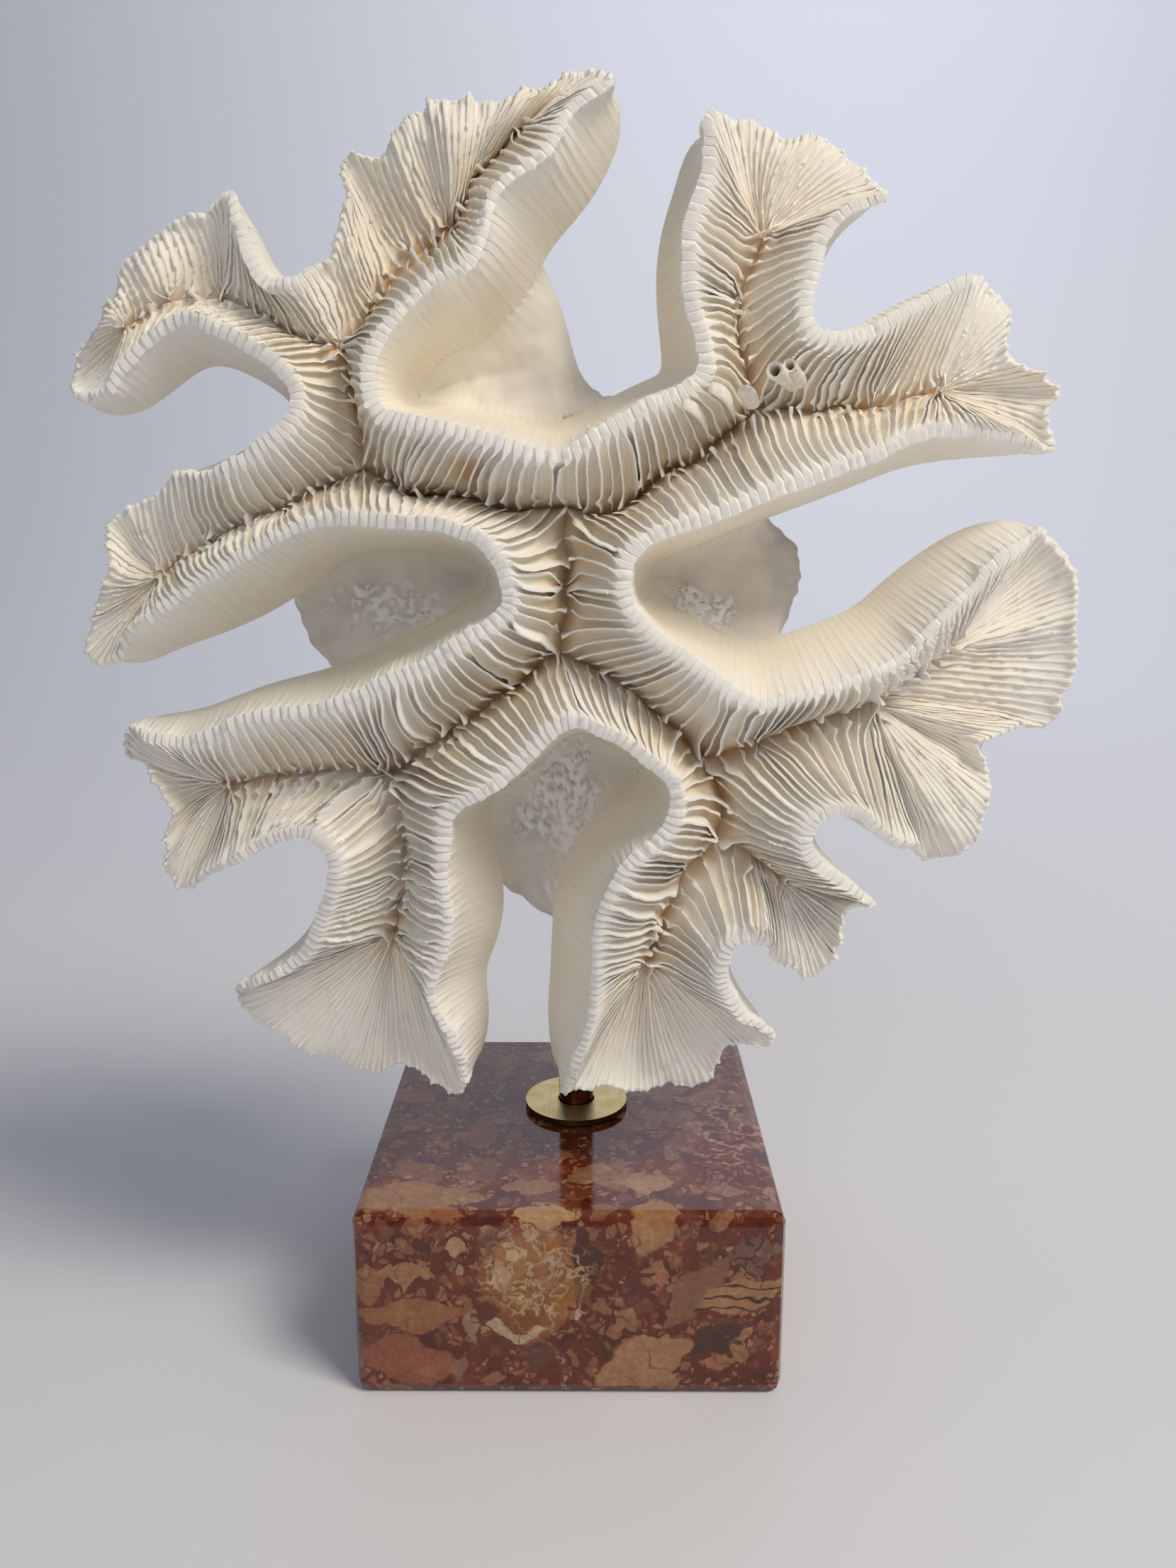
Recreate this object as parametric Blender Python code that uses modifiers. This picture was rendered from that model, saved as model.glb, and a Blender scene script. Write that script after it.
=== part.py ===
"""Brain coral skeleton on a rod, with a brass washer and a marble block.

The coral is one thin wall that winds round every lobe. Inside the wall lie valleys lined
with radiating ridges, outside it lie smooth hollows, and behind them a plate joins the lobes.
"""
import math

import bmesh
import bpy
import numpy as np
from mathutils import Vector

MM = 0.001

# Stand, in metres
BLOCK_SIDE = 0.080
BLOCK_HEIGHT = 0.0372
BLOCK_CHAMFER = 0.0022
WASHER_RADIUS = 0.0109
WASHER_THICK = 0.0012
ROD_RADIUS = 0.00365
ROD_TOP = 0.122
ROD_SEAT = 0.020
ROD_AT = (0.0008, 0.0050)
FIT_GAP = 0.0003
WELD = 0.00002

# Coral depths, in millimetres: the front plane touches the crests, and y grows to the back
FRONT_PLANE = -45.0
CREST_FRONT = -47.0
DOME = 0.0028
DOME_LOW = 0.0021
CENTRE = (0.0, 150.0)
RIM_BACK = 3.5
# The outlines below are seen on the front plane from here, and are carried back along that sight
VIEW_POINT = (4.5, -249.0, 162.0)

# Ridges
RIDGE_SPACING = 7.2
RIDGE_HEIGHT = 2.6
CREST_TOOTH = 1.1
CREST_WIDTH = 1.3
INNER_ROWS = (0.0, 0.34, 0.72, 1.0)
OUTER_ROWS = (0.0, 0.42, 0.74, 1.0)

# Valley floors, as (x, z) on the front plane. A junction has more than two neighbours.
FLOOR = {
    "c0": (0.0, 163.0), "c1": (0.3, 151.0), "c2": (-0.5, 141.0),
    "a1": (-7.0, 163.5), "a2": (-15.0, 164.7), "a3": (-24.0, 165.2), "ja": (-31.0, 169.5),
    "l1": (-37.5, 166.8), "l2": (-44.0, 163.8), "l3": (-51.0, 160.4), "l4": (-58.0, 156.8), "l5": (-64.0, 153.0),
    "b1": (-32.7, 179.0), "jb": (-33.8, 187.0),
    "t1": (-28.3, 194.0), "t2": (-23.0, 199.8), "t3": (-17.3, 204.5), "t4": (-13.3, 211.0), "t5": (-6.0, 218.0),
    "s1": (-40.0, 189.7), "s2": (-46.5, 192.0), "s3": (-53.0, 194.0), "s4": (-60.0, 194.3), "s5": (-67.0, 190.0),
    "w1": (7.5, 163.2), "w2": (15.0, 168.0), "w3": (23.0, 172.3), "jw": (30.0, 178.0),
    "f1": (27.5, 187.0), "f2": (26.8, 194.5), "f3": (30.5, 203.5),
    "e1": (38.0, 178.2), "e2": (47.0, 179.0), "e3": (57.0, 181.0),
    "q1": (7.0, 136.8), "q2": (13.5, 131.8), "jq": (22.5, 123.6),
    "d1": (31.0, 126.3), "d2": (40.0, 129.3), "jd": (49.0, 132.0), "k1": (55.5, 136.5), "k2": (61.5, 141.5),
    "r1": (25.7, 116.5), "jr": (24.6, 110.5), "o1": (31.0, 107.0), "o2": (36.0, 102.5),
    "v1": (19.5, 104.0), "v2": (16.2, 96.5), "v3": (13.0, 88.0),
    "p1": (-7.0, 136.0), "p2": (-14.0, 131.3), "p3": (-21.0, 126.3), "jp": (-29.0, 120.8),
    "g1": (-37.5, 121.2), "g2": (-46.0, 120.3), "g3": (-56.0, 118.8),
    "h1": (-27.5, 113.0), "h2": (-26.7, 104.0), "h3": (-29.8, 93.5),
}

# How the wall stands below its crest: (outward lean, drop to its widest place), in mm
HOLLOW = (5.5, 26.0)
WALL = (9.0, 20.0)
UPRIGHT = (4.5, 20.0)
NOTCH = (1.8, 11.0)
FLARE = (8.5, 13.0)
RIM = (-0.6, 2.8)

# The crest, once round the coral and clockwise from the front: (x, z, floor it looks down on)
CREST = [
    ("top hollow, left wall", WALL, [
        (7.0, 224.8, "t5"), (1.3, 221.2, "t5"), (-2.4, 215.6, "t5"), (-9.8, 210.2, "t4"), (-12.2, 204.0, "t3"),
        (-14.8, 198.9, "t3"), (-20.0, 196.8, "t2"), (-25.0, 193.0, "t1")]),
    ("top hollow", HOLLOW, [
        (-28.7, 189.2, "jb"), (-30.2, 184.5, "jb"), (-30.3, 180.5, "b1"), (-28.3, 177.3, "ja"),
        (-24.0, 176.0, "a3"), (-18.0, 175.2, "a3"), (-12.0, 173.5, "a2"), (-6.0, 171.7, "a1"),
        (0.0, 171.6, "c0"), (6.0, 175.3, "w1"), (12.0, 178.8, "w2"), (18.0, 181.0, "w3"), (21.6, 184.2, "jw")]),
    ("top hollow, right wall", UPRIGHT, [
        (21.2, 189.0, "f1"), (19.4, 195.0, "f2"), (18.9, 202.0, "f2"), (20.3, 207.5, "f3"), (22.0, 214.0, "f3"),
        (21.8, 219.6, "f3")]),
    ("top right rim", RIM, [
        (25.0, 219.7, "f3"), (29.5, 219.2, "f3"), (33.5, 216.7, "f3"), (38.0, 217.6, "f3"), (43.2, 215.0, "f3"),
        (48.8, 209.7, "f3")]),
    ("top right notch", NOTCH, [
        (43.0, 208.0, "f3"), (39.2, 204.3, "f3"), (38.7, 199.0, "f2"), (37.2, 194.0, "f1"), (38.3, 189.9, "jw"),
        (43.5, 188.8, "e1"), (50.0, 191.5, "e2"), (56.0, 195.0, "e2"), (61.5, 198.0, "e3")]),
    ("right upper rim", RIM, [
        (64.3, 195.0, "e3"), (67.7, 191.0, "e3"), (68.6, 186.5, "e3"), (73.0, 182.0, "e3"), (72.3, 177.3, "e3"),
        (75.0, 172.6, "e3")]),
    ("right hollow, upper wall", UPRIGHT, [
        (69.0, 174.4, "e3"), (62.0, 175.0, "e3"), (56.0, 174.8, "e3"), (49.5, 172.0, "e2"), (42.5, 169.3, "e1")]),
    ("right hollow", HOLLOW, [
        (35.5, 166.6, "jw"), (28.5, 163.7, "w3"), (20.5, 161.3, "w2"), (14.0, 158.7, "w1"), (10.3, 155.6, "c0"),
        (9.4, 151.3, "c1"), (10.6, 147.2, "c1"), (13.6, 143.7, "c2"), (18.0, 140.6, "q1"), (22.5, 137.6, "q2"),
        (27.0, 133.9, "jq")]),
    ("right hollow, lower wall", WALL, [
        (32.0, 132.2, "d1"), (38.0, 133.4, "d1"), (44.0, 135.0, "d2"), (50.0, 137.5, "jd"), (54.7, 140.2, "k1"),
        (58.0, 143.6, "k1"), (62.0, 147.5, "k2"), (66.2, 152.2, "k2"), (71.0, 156.6, "k2")]),
    ("right rim", RIM, [
        (76.5, 157.7, "k2"), (80.0, 152.5, "k2"), (81.9, 147.0, "k2"), (81.8, 140.5, "k2"), (80.3, 133.5, "k1"),
        (78.0, 128.0, "jd"), (73.0, 126.2, "jd"), (67.9, 125.7, "jd"), (68.2, 121.0, "jd"), (69.8, 115.3, "jd"),
        (68.0, 110.2, "jd"), (64.2, 106.9, "jd"), (60.0, 105.3, "jd")]),
    ("right lower notch", NOTCH, [
        (56.0, 107.5, "jd"), (52.4, 110.8, "jd"), (48.6, 113.8, "d2"), (44.8, 114.5, "d1"), (41.6, 112.8, "d1"),
        (40.0, 110.4, "jq"), (39.9, 108.2, "r1"), (40.7, 106.3, "jr"), (42.5, 104.4, "o1"), (46.5, 101.3, "o2")]),
    ("lower right rim", RIM, [
        (53.0, 97.2, "o2"), (49.0, 96.6, "o2"), (46.0, 96.8, "o2"), (45.3, 93.0, "o2"), (43.7, 88.0, "o2"),
        (41.4, 85.2, "o2"), (38.0, 88.0, "o2"), (34.8, 90.6, "o1")]),
    ("bottom right notch", NOTCH, [
        (31.5, 92.3, "o1"), (28.8, 91.8, "jr"), (27.0, 90.0, "v1"), (26.7, 86.6, "v2"), (27.2, 82.5, "v3"),
        (30.2, 77.7, "v3")]),
    ("bottom right rim", RIM, [
        (34.4, 73.7, "v3"), (31.0, 72.7, "v3"), (28.0, 71.0, "v3"), (24.5, 67.4, "v3"), (20.0, 65.9, "v3"),
        (15.0, 66.0, "v3"), (10.0, 64.4, "v3"), (5.5, 64.6, "v3"), (1.6, 64.8, "v3"), (-1.3, 63.5, "v3")]),
    ("bottom hollow, right wall", WALL, [
        (0.8, 68.0, "v3"), (2.8, 73.2, "v3"), (4.2, 79.0, "v3"), (4.8, 86.0, "v3"), (5.0, 92.0, "v2"),
        (6.3, 98.0, "v2"), (8.7, 103.0, "v1")]),
    ("bottom hollow", HOLLOW, [
        (12.3, 106.6, "v1"), (15.5, 109.4, "jr"), (17.6, 112.4, "jr"), (18.3, 115.6, "r1"), (17.4, 118.9, "jq"),
        (14.0, 122.2, "q2"), (8.8, 126.2, "q1"), (4.5, 128.4, "c2"), (1.0, 128.9, "c2"), (-2.4, 127.4, "p1"),
        (-6.6, 123.3, "p2"), (-12.2, 118.7, "p3"), (-17.0, 116.2, "jp"), (-19.7, 113.6, "jp"), (-20.3, 109.0, "h1")]),
    ("bottom hollow, left wall", WALL, [
        (-20.3, 103.0, "h2"), (-20.2, 96.5, "h2"), (-20.9, 90.0, "h3"), (-22.6, 85.2, "h3"), (-23.4, 81.2, "h3"),
        (-21.8, 76.6, "h3"), (-19.4, 71.2, "h3")]),
    ("bottom left rim", RIM, [
        (-19.5, 64.6, "h3"), (-22.5, 67.6, "h3"), (-26.0, 69.2, "h3"), (-30.5, 69.0, "h3"), (-35.0, 67.5, "h3"),
        (-40.0, 70.8, "h3"), (-46.0, 73.2, "h3"), (-51.5, 77.2, "h3"), (-57.5, 82.3, "h3")]),
    ("bottom left notch", NOTCH, [
        (-51.5, 84.8, "h3"), (-45.7, 87.8, "h3"), (-42.6, 92.0, "h3"), (-40.9, 96.5, "h2"), (-39.4, 101.0, "h2"),
        (-38.9, 105.0, "h1"), (-40.3, 108.6, "jp"), (-43.4, 110.3, "jp"), (-47.5, 110.0, "g1"),
        (-52.3, 108.1, "g2"), (-57.0, 105.0, "g3")]),
    ("left lower rim", RIM, [
        (-64.3, 100.4, "g3"), (-66.8, 103.8, "g3"), (-67.4, 109.0, "g3"), (-67.9, 114.5, "g3"),
        (-70.5, 119.8, "g3"), (-72.9, 124.2, "g3"), (-71.4, 128.8, "g3")]),
    ("left hollow, lower wall", UPRIGHT, [
        (-67.8, 127.3, "g3"), (-63.5, 126.4, "g3"), (-58.5, 127.2, "g3"),
        (-52.0, 129.6, "g2"), (-44.5, 130.6, "g1")]),
    ("left hollow", HOLLOW, [
        (-38.2, 131.5, "jp"), (-33.0, 133.7, "jp"), (-28.0, 136.0, "p3"), (-22.0, 139.3, "p2"), (-16.7, 142.4, "p1"),
        (-12.6, 144.6, "c2"), (-9.9, 147.0, "c2"), (-9.2, 150.0, "c1"), (-9.8, 153.2, "c1"), (-11.8, 156.4, "c0"),
        (-15.0, 159.0, "a1"), (-20.0, 160.6, "a2"), (-26.0, 160.8, "a3"), (-32.0, 161.2, "ja"), (-37.5, 161.6, "l1")]),
    ("left hollow, upper wall", WALL, [
        (-43.0, 160.2, "l2"), (-47.6, 158.2, "l2"), (-51.6, 155.9, "l3"), (-57.0, 153.0, "l4"), (-62.0, 149.7, "l5"),
        (-68.0, 145.4, "l5")]),
    ("left rim", RIM, [
        (-75.4, 140.6, "l5"), (-75.8, 146.0, "l5"), (-73.3, 150.3, "l5"), (-71.7, 154.5, "l5"),
        (-72.1, 161.4, "l5"), (-67.3, 164.7, "l5"), (-61.0, 167.2, "l4")]),
    ("left upper hollow", UPRIGHT, [
        (-55.0, 169.8, "l3"), (-49.7, 171.6, "l2"), (-45.2, 174.2, "l1"), (-42.6, 177.8, "ja"), (-42.3, 181.3, "b1"),
        (-44.5, 184.7, "jb"), (-48.6, 187.8, "s1"), (-53.5, 190.5, "s2"), (-58.0, 192.1, "s3")]),
    ("left upper hollow, flared wall", FLARE, [
        (-63.4, 189.6, "s4"), (-68.3, 185.2, "s5"), (-72.0, 182.0, "s5")]),
    ("left upper rim", RIM, [
        (-76.0, 181.0, "s5"), (-75.3, 184.8, "s5"), (-73.0, 188.3, "s5"), (-70.2, 191.6, "s5"), (-67.8, 196.0, "s5"),
        (-64.5, 200.0, "s4"), (-60.5, 203.6, "s4"), (-56.2, 206.0, "s3"), (-53.0, 207.9, "s3")]),
    ("left upper notch", NOTCH, [
        (-50.0, 209.5, "s3"), (-48.8, 205.2, "s3"), (-47.6, 200.7, "s2"), (-45.3, 197.2, "s1"), (-41.2, 196.9, "jb")]),
    ("top left rim", RIM, [
        (-37.6, 199.4, "jb"), (-35.1, 204.0, "t1"), (-33.5, 209.3, "t1"), (-32.9, 214.6, "t2"), (-29.0, 216.8, "t2"),
        (-24.5, 217.3, "t3"), (-21.9, 219.4, "t3"), (-20.2, 222.4, "t3"), (-15.0, 223.3, "t3"), (-9.5, 222.2, "t4"),
        (-4.5, 223.4, "t4"), (0.0, 225.2, "t5"), (3.6, 224.7, "t5")]),
]

# Where each arm leaves the middle: its junction, the crests on its two sides, and its way (x, z)
ARMS = {
    "arm_upper_right": ("jw", ((21.6, 184.2), (35.5, 166.6)), (0.80, 0.60)),
    "arm_lower_right": ("jq", ((27.0, 133.9), (17.4, 118.9)), (0.85, -0.52)),
    "arm_lower_left": ("jp", ((-19.7, 113.6), (-33.0, 133.7)), (-0.88, -0.48)),
    "arm_upper_left": ("ja", ((-32.0, 161.2), (-28.3, 177.3)), (-0.87, 0.50)),
}

# Plate behind the hollows and its stalk, as (share of the outline, y in mm)
PLATE_RINGS = [(0.30, -17.5), (0.60, -16.5), (0.86, -13.5), (1.00, -9.5), (0.98, -6.0), (0.84, 0.0),
               (0.60, 6.0), (0.42, 13.0), (0.33, 20.0), (0.28, 27.0)]
PLATE_FRONT_RINGS = 4
PLATE_REACH = {0: 42.0, 30: 36.0, 60: 33.0, 90: 34.0, 120: 35.0, 150: 40.0, 180: 52.0, 205: 46.0,
               230: 48.0, 250: 60.0, 268: 66.0, 285: 54.0, 310: 38.0, 335: 37.0, 360: 42.0}
PLATE_SIDES = 36
PLATE_CENTRE = (1.0, 150.0)


def material(name, colour, roughness, metallic=0.0):
    """A plain Principled material."""
    mat = bpy.data.materials.new(name)
    mat.use_nodes = True
    shader = mat.node_tree.nodes["Principled BSDF"]
    shader.inputs["Base Color"].default_value = (*colour, 1.0)
    shader.inputs["Roughness"].default_value = roughness
    shader.inputs["Metallic"].default_value = metallic
    mat.diffuse_color = (*colour, 1.0)
    return mat


def seen(x, z, y):
    """The real point at depth y that is seen at (x, z) on the front plane, in mm."""
    far = (y - VIEW_POINT[1]) / (FRONT_PLANE - VIEW_POINT[1])
    return np.array([VIEW_POINT[0] + (x - VIEW_POINT[0]) * far, y, VIEW_POINT[2] + (z - VIEW_POINT[2]) * far])


def radius(x, z):
    """Distance from the coral's middle, on the front plane."""
    return math.hypot(x - CENTRE[0], z - CENTRE[1])


def crest_depth(x, z, kind):
    """The crests lie on a dome, and the rims of the lobes hang back from it."""
    dome = DOME_LOW if z < CENTRE[1] - 30 else DOME
    back = RIM_BACK if kind is RIM else 0.0
    return CREST_FRONT + dome * radius(x, z) ** 2 + back


def floor_depth(r):
    """Depth of a valley floor at radius r."""
    return float(np.interp(r, (0, 30, 60, 80), (-34.0, -31.5, -28.5, -26.0)))


def keel_depth(r):
    """Depth of the underside below a valley floor at radius r."""
    return float(np.interp(r, (0, 25, 42, 60, 80), (1.0, 0.0, -5.5, -15.5, -22.0)))


def stations():
    """Every crest point with its floor and the way its wall stands, smoothed along the crest."""
    points, floors, lean, drop = [], [], [], []
    for _, kind, run in CREST:
        for x, z, floor in run:
            points.append(seen(x, z, crest_depth(x, z, kind)))
            floors.append(floor)
            lean.append(kind[0])
            drop.append(kind[1])
    lean = np.array(lean)
    drop = np.array(drop)
    for _ in range(2):
        lean = (np.roll(lean, 1) + 2 * lean + np.roll(lean, -1)) / 4
        drop = (np.roll(drop, 1) + 2 * drop + np.roll(drop, -1)) / 4
    return np.array(points), floors, lean, drop


def catmull(p0, p1, p2, p3, t):
    """A point at t on the smooth curve from p1 to p2."""
    return 0.5 * (2 * p1 + (p2 - p0) * t + (2 * p0 - 5 * p1 + 4 * p2 - p3) * t * t
                  + (3 * p1 - p0 - 3 * p2 + p3) * t ** 3)


def node_points(depth):
    """Real places of the floors, or of the keels behind them."""
    return {name: seen(x, z, depth(radius(x, z))) for name, (x, z) in FLOOR.items()}


def columns():
    """Columns from crest to floor, at least two to a ridge, with equal counts on both banks."""
    points, floors, lean, drop = stations()
    count = len(points)
    span = [float(np.linalg.norm(points[(i + 1) % count] - points[i])) for i in range(count)]
    banks = {}
    for i in range(count):
        pair = (floors[i], floors[(i + 1) % count])
        if pair[0] != pair[1]:
            banks.setdefault(frozenset(pair), []).append(span[i])
    for pair, spans in banks.items():
        assert len(spans) == 2, f"floor {sorted(pair)} has {len(spans)} banks"
    made = []
    for i in range(count):
        a, b = floors[i], floors[(i + 1) % count]
        length = span[i] if a == b else sum(banks[frozenset((a, b))]) / 2
        steps = 2 * max(1, round(length / RIDGE_SPACING))
        ring = [points[(i + k) % count] for k in (-1, 0, 1, 2)]
        for step in range(steps):
            t = step / steps
            made.append({
                "crest": catmull(*ring, t), "from": a, "to": b, "t": t, "ridge": step % 2 == 0,
                "lean": lean[i] * (1 - t) + lean[(i + 1) % count] * t,
                "drop": drop[i] * (1 - t) + drop[(i + 1) % count] * t,
                "step": step, "steps": steps, "station": i})
    crest = np.array([c["crest"] for c in made])
    along = np.roll(crest, -2, axis=0) - np.roll(crest, 2, axis=0)
    along /= np.linalg.norm(along[:, [0, 2]], axis=1)[:, None]
    for c, tangent in zip(made, along):
        c["out"] = np.array([-tangent[2], 0.0, tangent[0]])
    return made


def bank_key(c):
    """Name of the floor point under a column, the same from both banks."""
    if c["step"] == 0 or c["from"] == c["to"]:
        return c["from"]
    if c["from"] < c["to"]:
        return (c["from"], c["to"], c["step"])
    return (c["to"], c["from"], c["steps"] - c["step"])


def inner_line(c, floor):
    """From the crest's inner lip down a ridge, or a groove, to the floor."""
    lip = c["crest"] - c["out"] * CREST_WIDTH / 2
    line = []
    for t in INNER_ROWS[:-1]:
        p = lip + (floor - lip) * t
        p[1] = lip[1] + (floor[1] - lip[1]) * t ** 1.35
        if c["ridge"]:
            p[1] -= CREST_TOOTH * (1 - t)
        else:
            p[1] += RIDGE_HEIGHT * math.sin(math.pi * min(1.0, t + 0.12)) ** 0.8
        line.append(p)
    return line


def outer_line(c, keel):
    """From the crest's outer lip down the wall to its widest place, and under to the keel."""
    lip = c["crest"] + c["out"] * CREST_WIDTH / 2
    if c["ridge"]:
        lip = lip - np.array([0.0, CREST_TOOTH, 0.0])
    drop = min(c["drop"], max(1.2, (keel[1] - lip[1]) * 0.85))
    waist = c["crest"] + c["out"] * c["lean"] + np.array([0.0, drop, 0.0])
    line = []
    for s in OUTER_ROWS[:-1]:
        if s <= 0.5:
            u = s / 0.5
            p = lip + (waist - lip) * u
            p[1] = lip[1] + (waist[1] - lip[1]) * u ** 0.85
        else:
            u = (s - 0.5) / 0.5
            p = waist + (keel - waist) * u
            p[1] = waist[1] + (keel[1] - waist[1]) * math.sin(u * math.pi / 2)
        line.append(p)
    return line


def wall_mesh(runs, cut, shift=None):
    """Closed wall over runs of columns. Where one run ends and the next begins the wall is cut across."""
    floors = node_points(floor_depth)
    keels = node_points(keel_depth)
    move = np.zeros(3) if shift is None else shift
    verts, faces, shared = [], [], {}

    def vertex(point, key=None):
        if key is None or key not in shared:
            verts.append(Vector(point) * MM)
            if key is None:
                return len(verts) - 1
            shared[key] = len(verts) - 1
        return shared[key]

    def line(c, at_cut):
        key = bank_key(c)
        floor = floors[c["from"]] * (1 - c["t"]) + floors[c["to"]] * c["t"]
        keel = keels[c["from"]] * (1 - c["t"]) + keels[c["to"]] * c["t"]
        push = move if at_cut else np.zeros(3)
        root = move if key == cut else np.zeros(3)
        inner = [vertex(p + push) for p in inner_line(c, floor)] + [vertex(floor + root, ("floor", key))]
        outer = [vertex(p + push) for p in outer_line(c, keel)] + [vertex(keel + root, ("keel", key))]
        return inner, outer

    def strip(one, two):
        for k in range(len(one) - 1):
            ring = [one[k], two[k], two[k + 1], one[k + 1]]
            ring = [v for i, v in enumerate(ring) if v != ring[i - 1]]
            if len(ring) > 2:
                faces.append(ring)

    for run in runs:
        lines = [line(c, n in (0, len(run) - 1)) for n, c in enumerate(run)]
        for (in_a, out_a), (in_b, out_b) in zip(lines, lines[1:]):
            strip(in_a, in_b)
            strip(out_a[::-1], out_b[::-1])
            faces.append([in_a[0], out_a[0], out_b[0], in_b[0]])
        for inner, outer in (lines[0], lines[-1]):
            faces.append(inner + outer[::-1])
    return verts, faces


def new_object(name, verts, faces, mat, collection):
    """A mesh object from points and faces, with its faces turned outward."""
    mesh = bpy.data.meshes.new(name)
    mesh.from_pydata([tuple(v) for v in verts], [], faces)
    build = bmesh.new()
    build.from_mesh(mesh)
    bmesh.ops.triangulate(build, faces=build.faces, quad_method="SHORT_EDGE")
    bmesh.ops.recalc_face_normals(build, faces=build.faces)
    build.to_mesh(mesh)
    build.free()
    obj = bpy.data.objects.new(name, mesh)
    obj.data.materials.append(mat)
    collection.objects.link(obj)
    return obj


def plate(name, mat, collection, grow=0.0):
    """The plate behind the hollows with its stalk, turned round with an uneven outline."""
    angles = sorted(PLATE_REACH)
    reach = [PLATE_REACH[a] for a in angles]
    verts, faces = [], []
    for ring, (share, y) in enumerate(PLATE_RINGS):
        for k in range(PLATE_SIDES):
            angle = 360.0 * k / PLATE_SIDES
            r = np.interp(angle, angles, reach) * share + grow
            side = math.radians(angle)
            push = -grow if ring < PLATE_FRONT_RINGS else grow
            verts.append(Vector((PLATE_CENTRE[0] + r * math.cos(side), y + push,
                                 PLATE_CENTRE[1] + r * math.sin(side))) * MM)
    for ring in range(len(PLATE_RINGS) - 1):
        for k in range(PLATE_SIDES):
            a = ring * PLATE_SIDES + k
            b = ring * PLATE_SIDES + (k + 1) % PLATE_SIDES
            faces.append([a, b, b + PLATE_SIDES, a + PLATE_SIDES])
    faces.append(list(range(PLATE_SIDES)))
    last = (len(PLATE_RINGS) - 1) * PLATE_SIDES
    faces.append([last + k for k in reversed(range(PLATE_SIDES))])
    return new_object(name, verts, faces, mat, collection)


def boolean(obj, other, operation):
    """Cut or join a piece with another, and leave the result in its mesh."""
    mod = obj.modifiers.new(operation.lower(), "BOOLEAN")
    mod.object = other
    mod.operation = operation
    mod.solver = "EXACT"
    graph = bpy.context.evaluated_depsgraph_get()
    mesh = bpy.data.meshes.new_from_object(obj.evaluated_get(graph))
    obj.modifiers.clear()
    obj.data = mesh


def keep_largest(obj):
    """Weld the seams that a cut leaves, and drop its crumbs."""
    build = bmesh.new()
    build.from_mesh(obj.data)
    bmesh.ops.triangulate(build, faces=build.faces)
    bmesh.ops.remove_doubles(build, verts=build.verts, dist=WELD)
    bmesh.ops.dissolve_degenerate(build, edges=build.edges, dist=WELD)
    bmesh.ops.triangulate(build, faces=build.faces)
    groups = []
    found = set()
    for start in build.verts:
        if start in found:
            continue
        group = [start]
        found.add(start)
        for v in group:
            for edge in v.link_edges:
                other = edge.other_vert(v)
                if other not in found:
                    found.add(other)
                    group.append(other)
        groups.append(group)
    groups.sort(key=len)
    for group in groups[:-1]:
        bmesh.ops.delete(build, geom=group, context="VERTS")
    build.to_mesh(obj.data)
    build.free()


def round_bar(name, radius_m, low, high, at, mat, collection, sides):
    """An upright round piece between two heights."""
    bpy.ops.mesh.primitive_cylinder_add(vertices=sides, radius=radius_m, depth=high - low,
                                        location=(at[0], at[1], (low + high) / 2))
    obj = bpy.context.object
    obj.name = name
    obj.data.name = name
    for face in obj.data.polygons:
        face.use_smooth = len(face.vertices) == 4
    if mat is not None:
        obj.data.materials.append(mat)
    for owner in list(obj.users_collection):
        owner.objects.unlink(obj)
    collection.objects.link(obj)
    return obj


def as_cutter(obj):
    """Keep a helper solid out of sight."""
    obj.hide_render = True
    obj.display_type = "WIRE"
    return obj


def make_coral(parts, cutters):
    """The middle with its plate, and four arms that part from it at the main forks."""
    bone = material("aragonite", (0.80, 0.75, 0.64), 0.55)
    cols = columns()
    keys = [bank_key(c) for c in cols]
    total = len(cols)
    spans = []
    for name, (junction, crests, way) in ARMS.items():
        ends = []
        for x, z in crests:
            near = [n for n in range(total) if keys[n] == junction and cols[n]["step"] == 0]
            at = [cols[n]["crest"] for n in near]
            target = seen(x, z, crest_depth(x, z, HOLLOW))
            ends.append(near[int(np.argmin([np.linalg.norm(p - target) for p in at]))])
        start, stop = ends
        run = [cols[n % total] for n in range(start, stop + 1 if stop > start else stop + total + 1)]
        shift = np.array([way[0], 0.0, way[1]]) / math.hypot(*way) * FIT_GAP / MM
        clearance = as_cutter(plate(f"{name}_clearance", bone, cutters, grow=FIT_GAP / MM))
        arm = new_object(name, *wall_mesh([run], junction, shift), bone, parts)
        boolean(arm, clearance, "DIFFERENCE")
        keep_largest(arm)
        spans.append((start, stop))
    spans.sort()
    runs = []
    for (_, stop), (start, _) in zip(spans, spans[1:] + spans[:1]):
        runs.append([cols[n % total] for n in range(stop, start + 1 if start > stop else start + total + 1)])
    middle = new_object("coral_middle", *wall_mesh(runs, None), bone, parts)
    backing = as_cutter(plate("coral_plate", bone, cutters))
    boolean(middle, backing, "UNION")
    hole = as_cutter(round_bar("rod_hole", ROD_RADIUS + FIT_GAP, 0.060, ROD_TOP + FIT_GAP, ROD_AT, None, cutters, 24))
    boolean(middle, hole, "DIFFERENCE")
    keep_largest(middle)


def make_rod(parts):
    """Turned rod that carries the coral and stands in the block."""
    steel = material("bronzed_steel", (0.10, 0.05, 0.035), 0.25, 1.0)
    return round_bar("rod", ROD_RADIUS, BLOCK_HEIGHT - ROD_SEAT, ROD_TOP, ROD_AT, steel, parts, 24)


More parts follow.
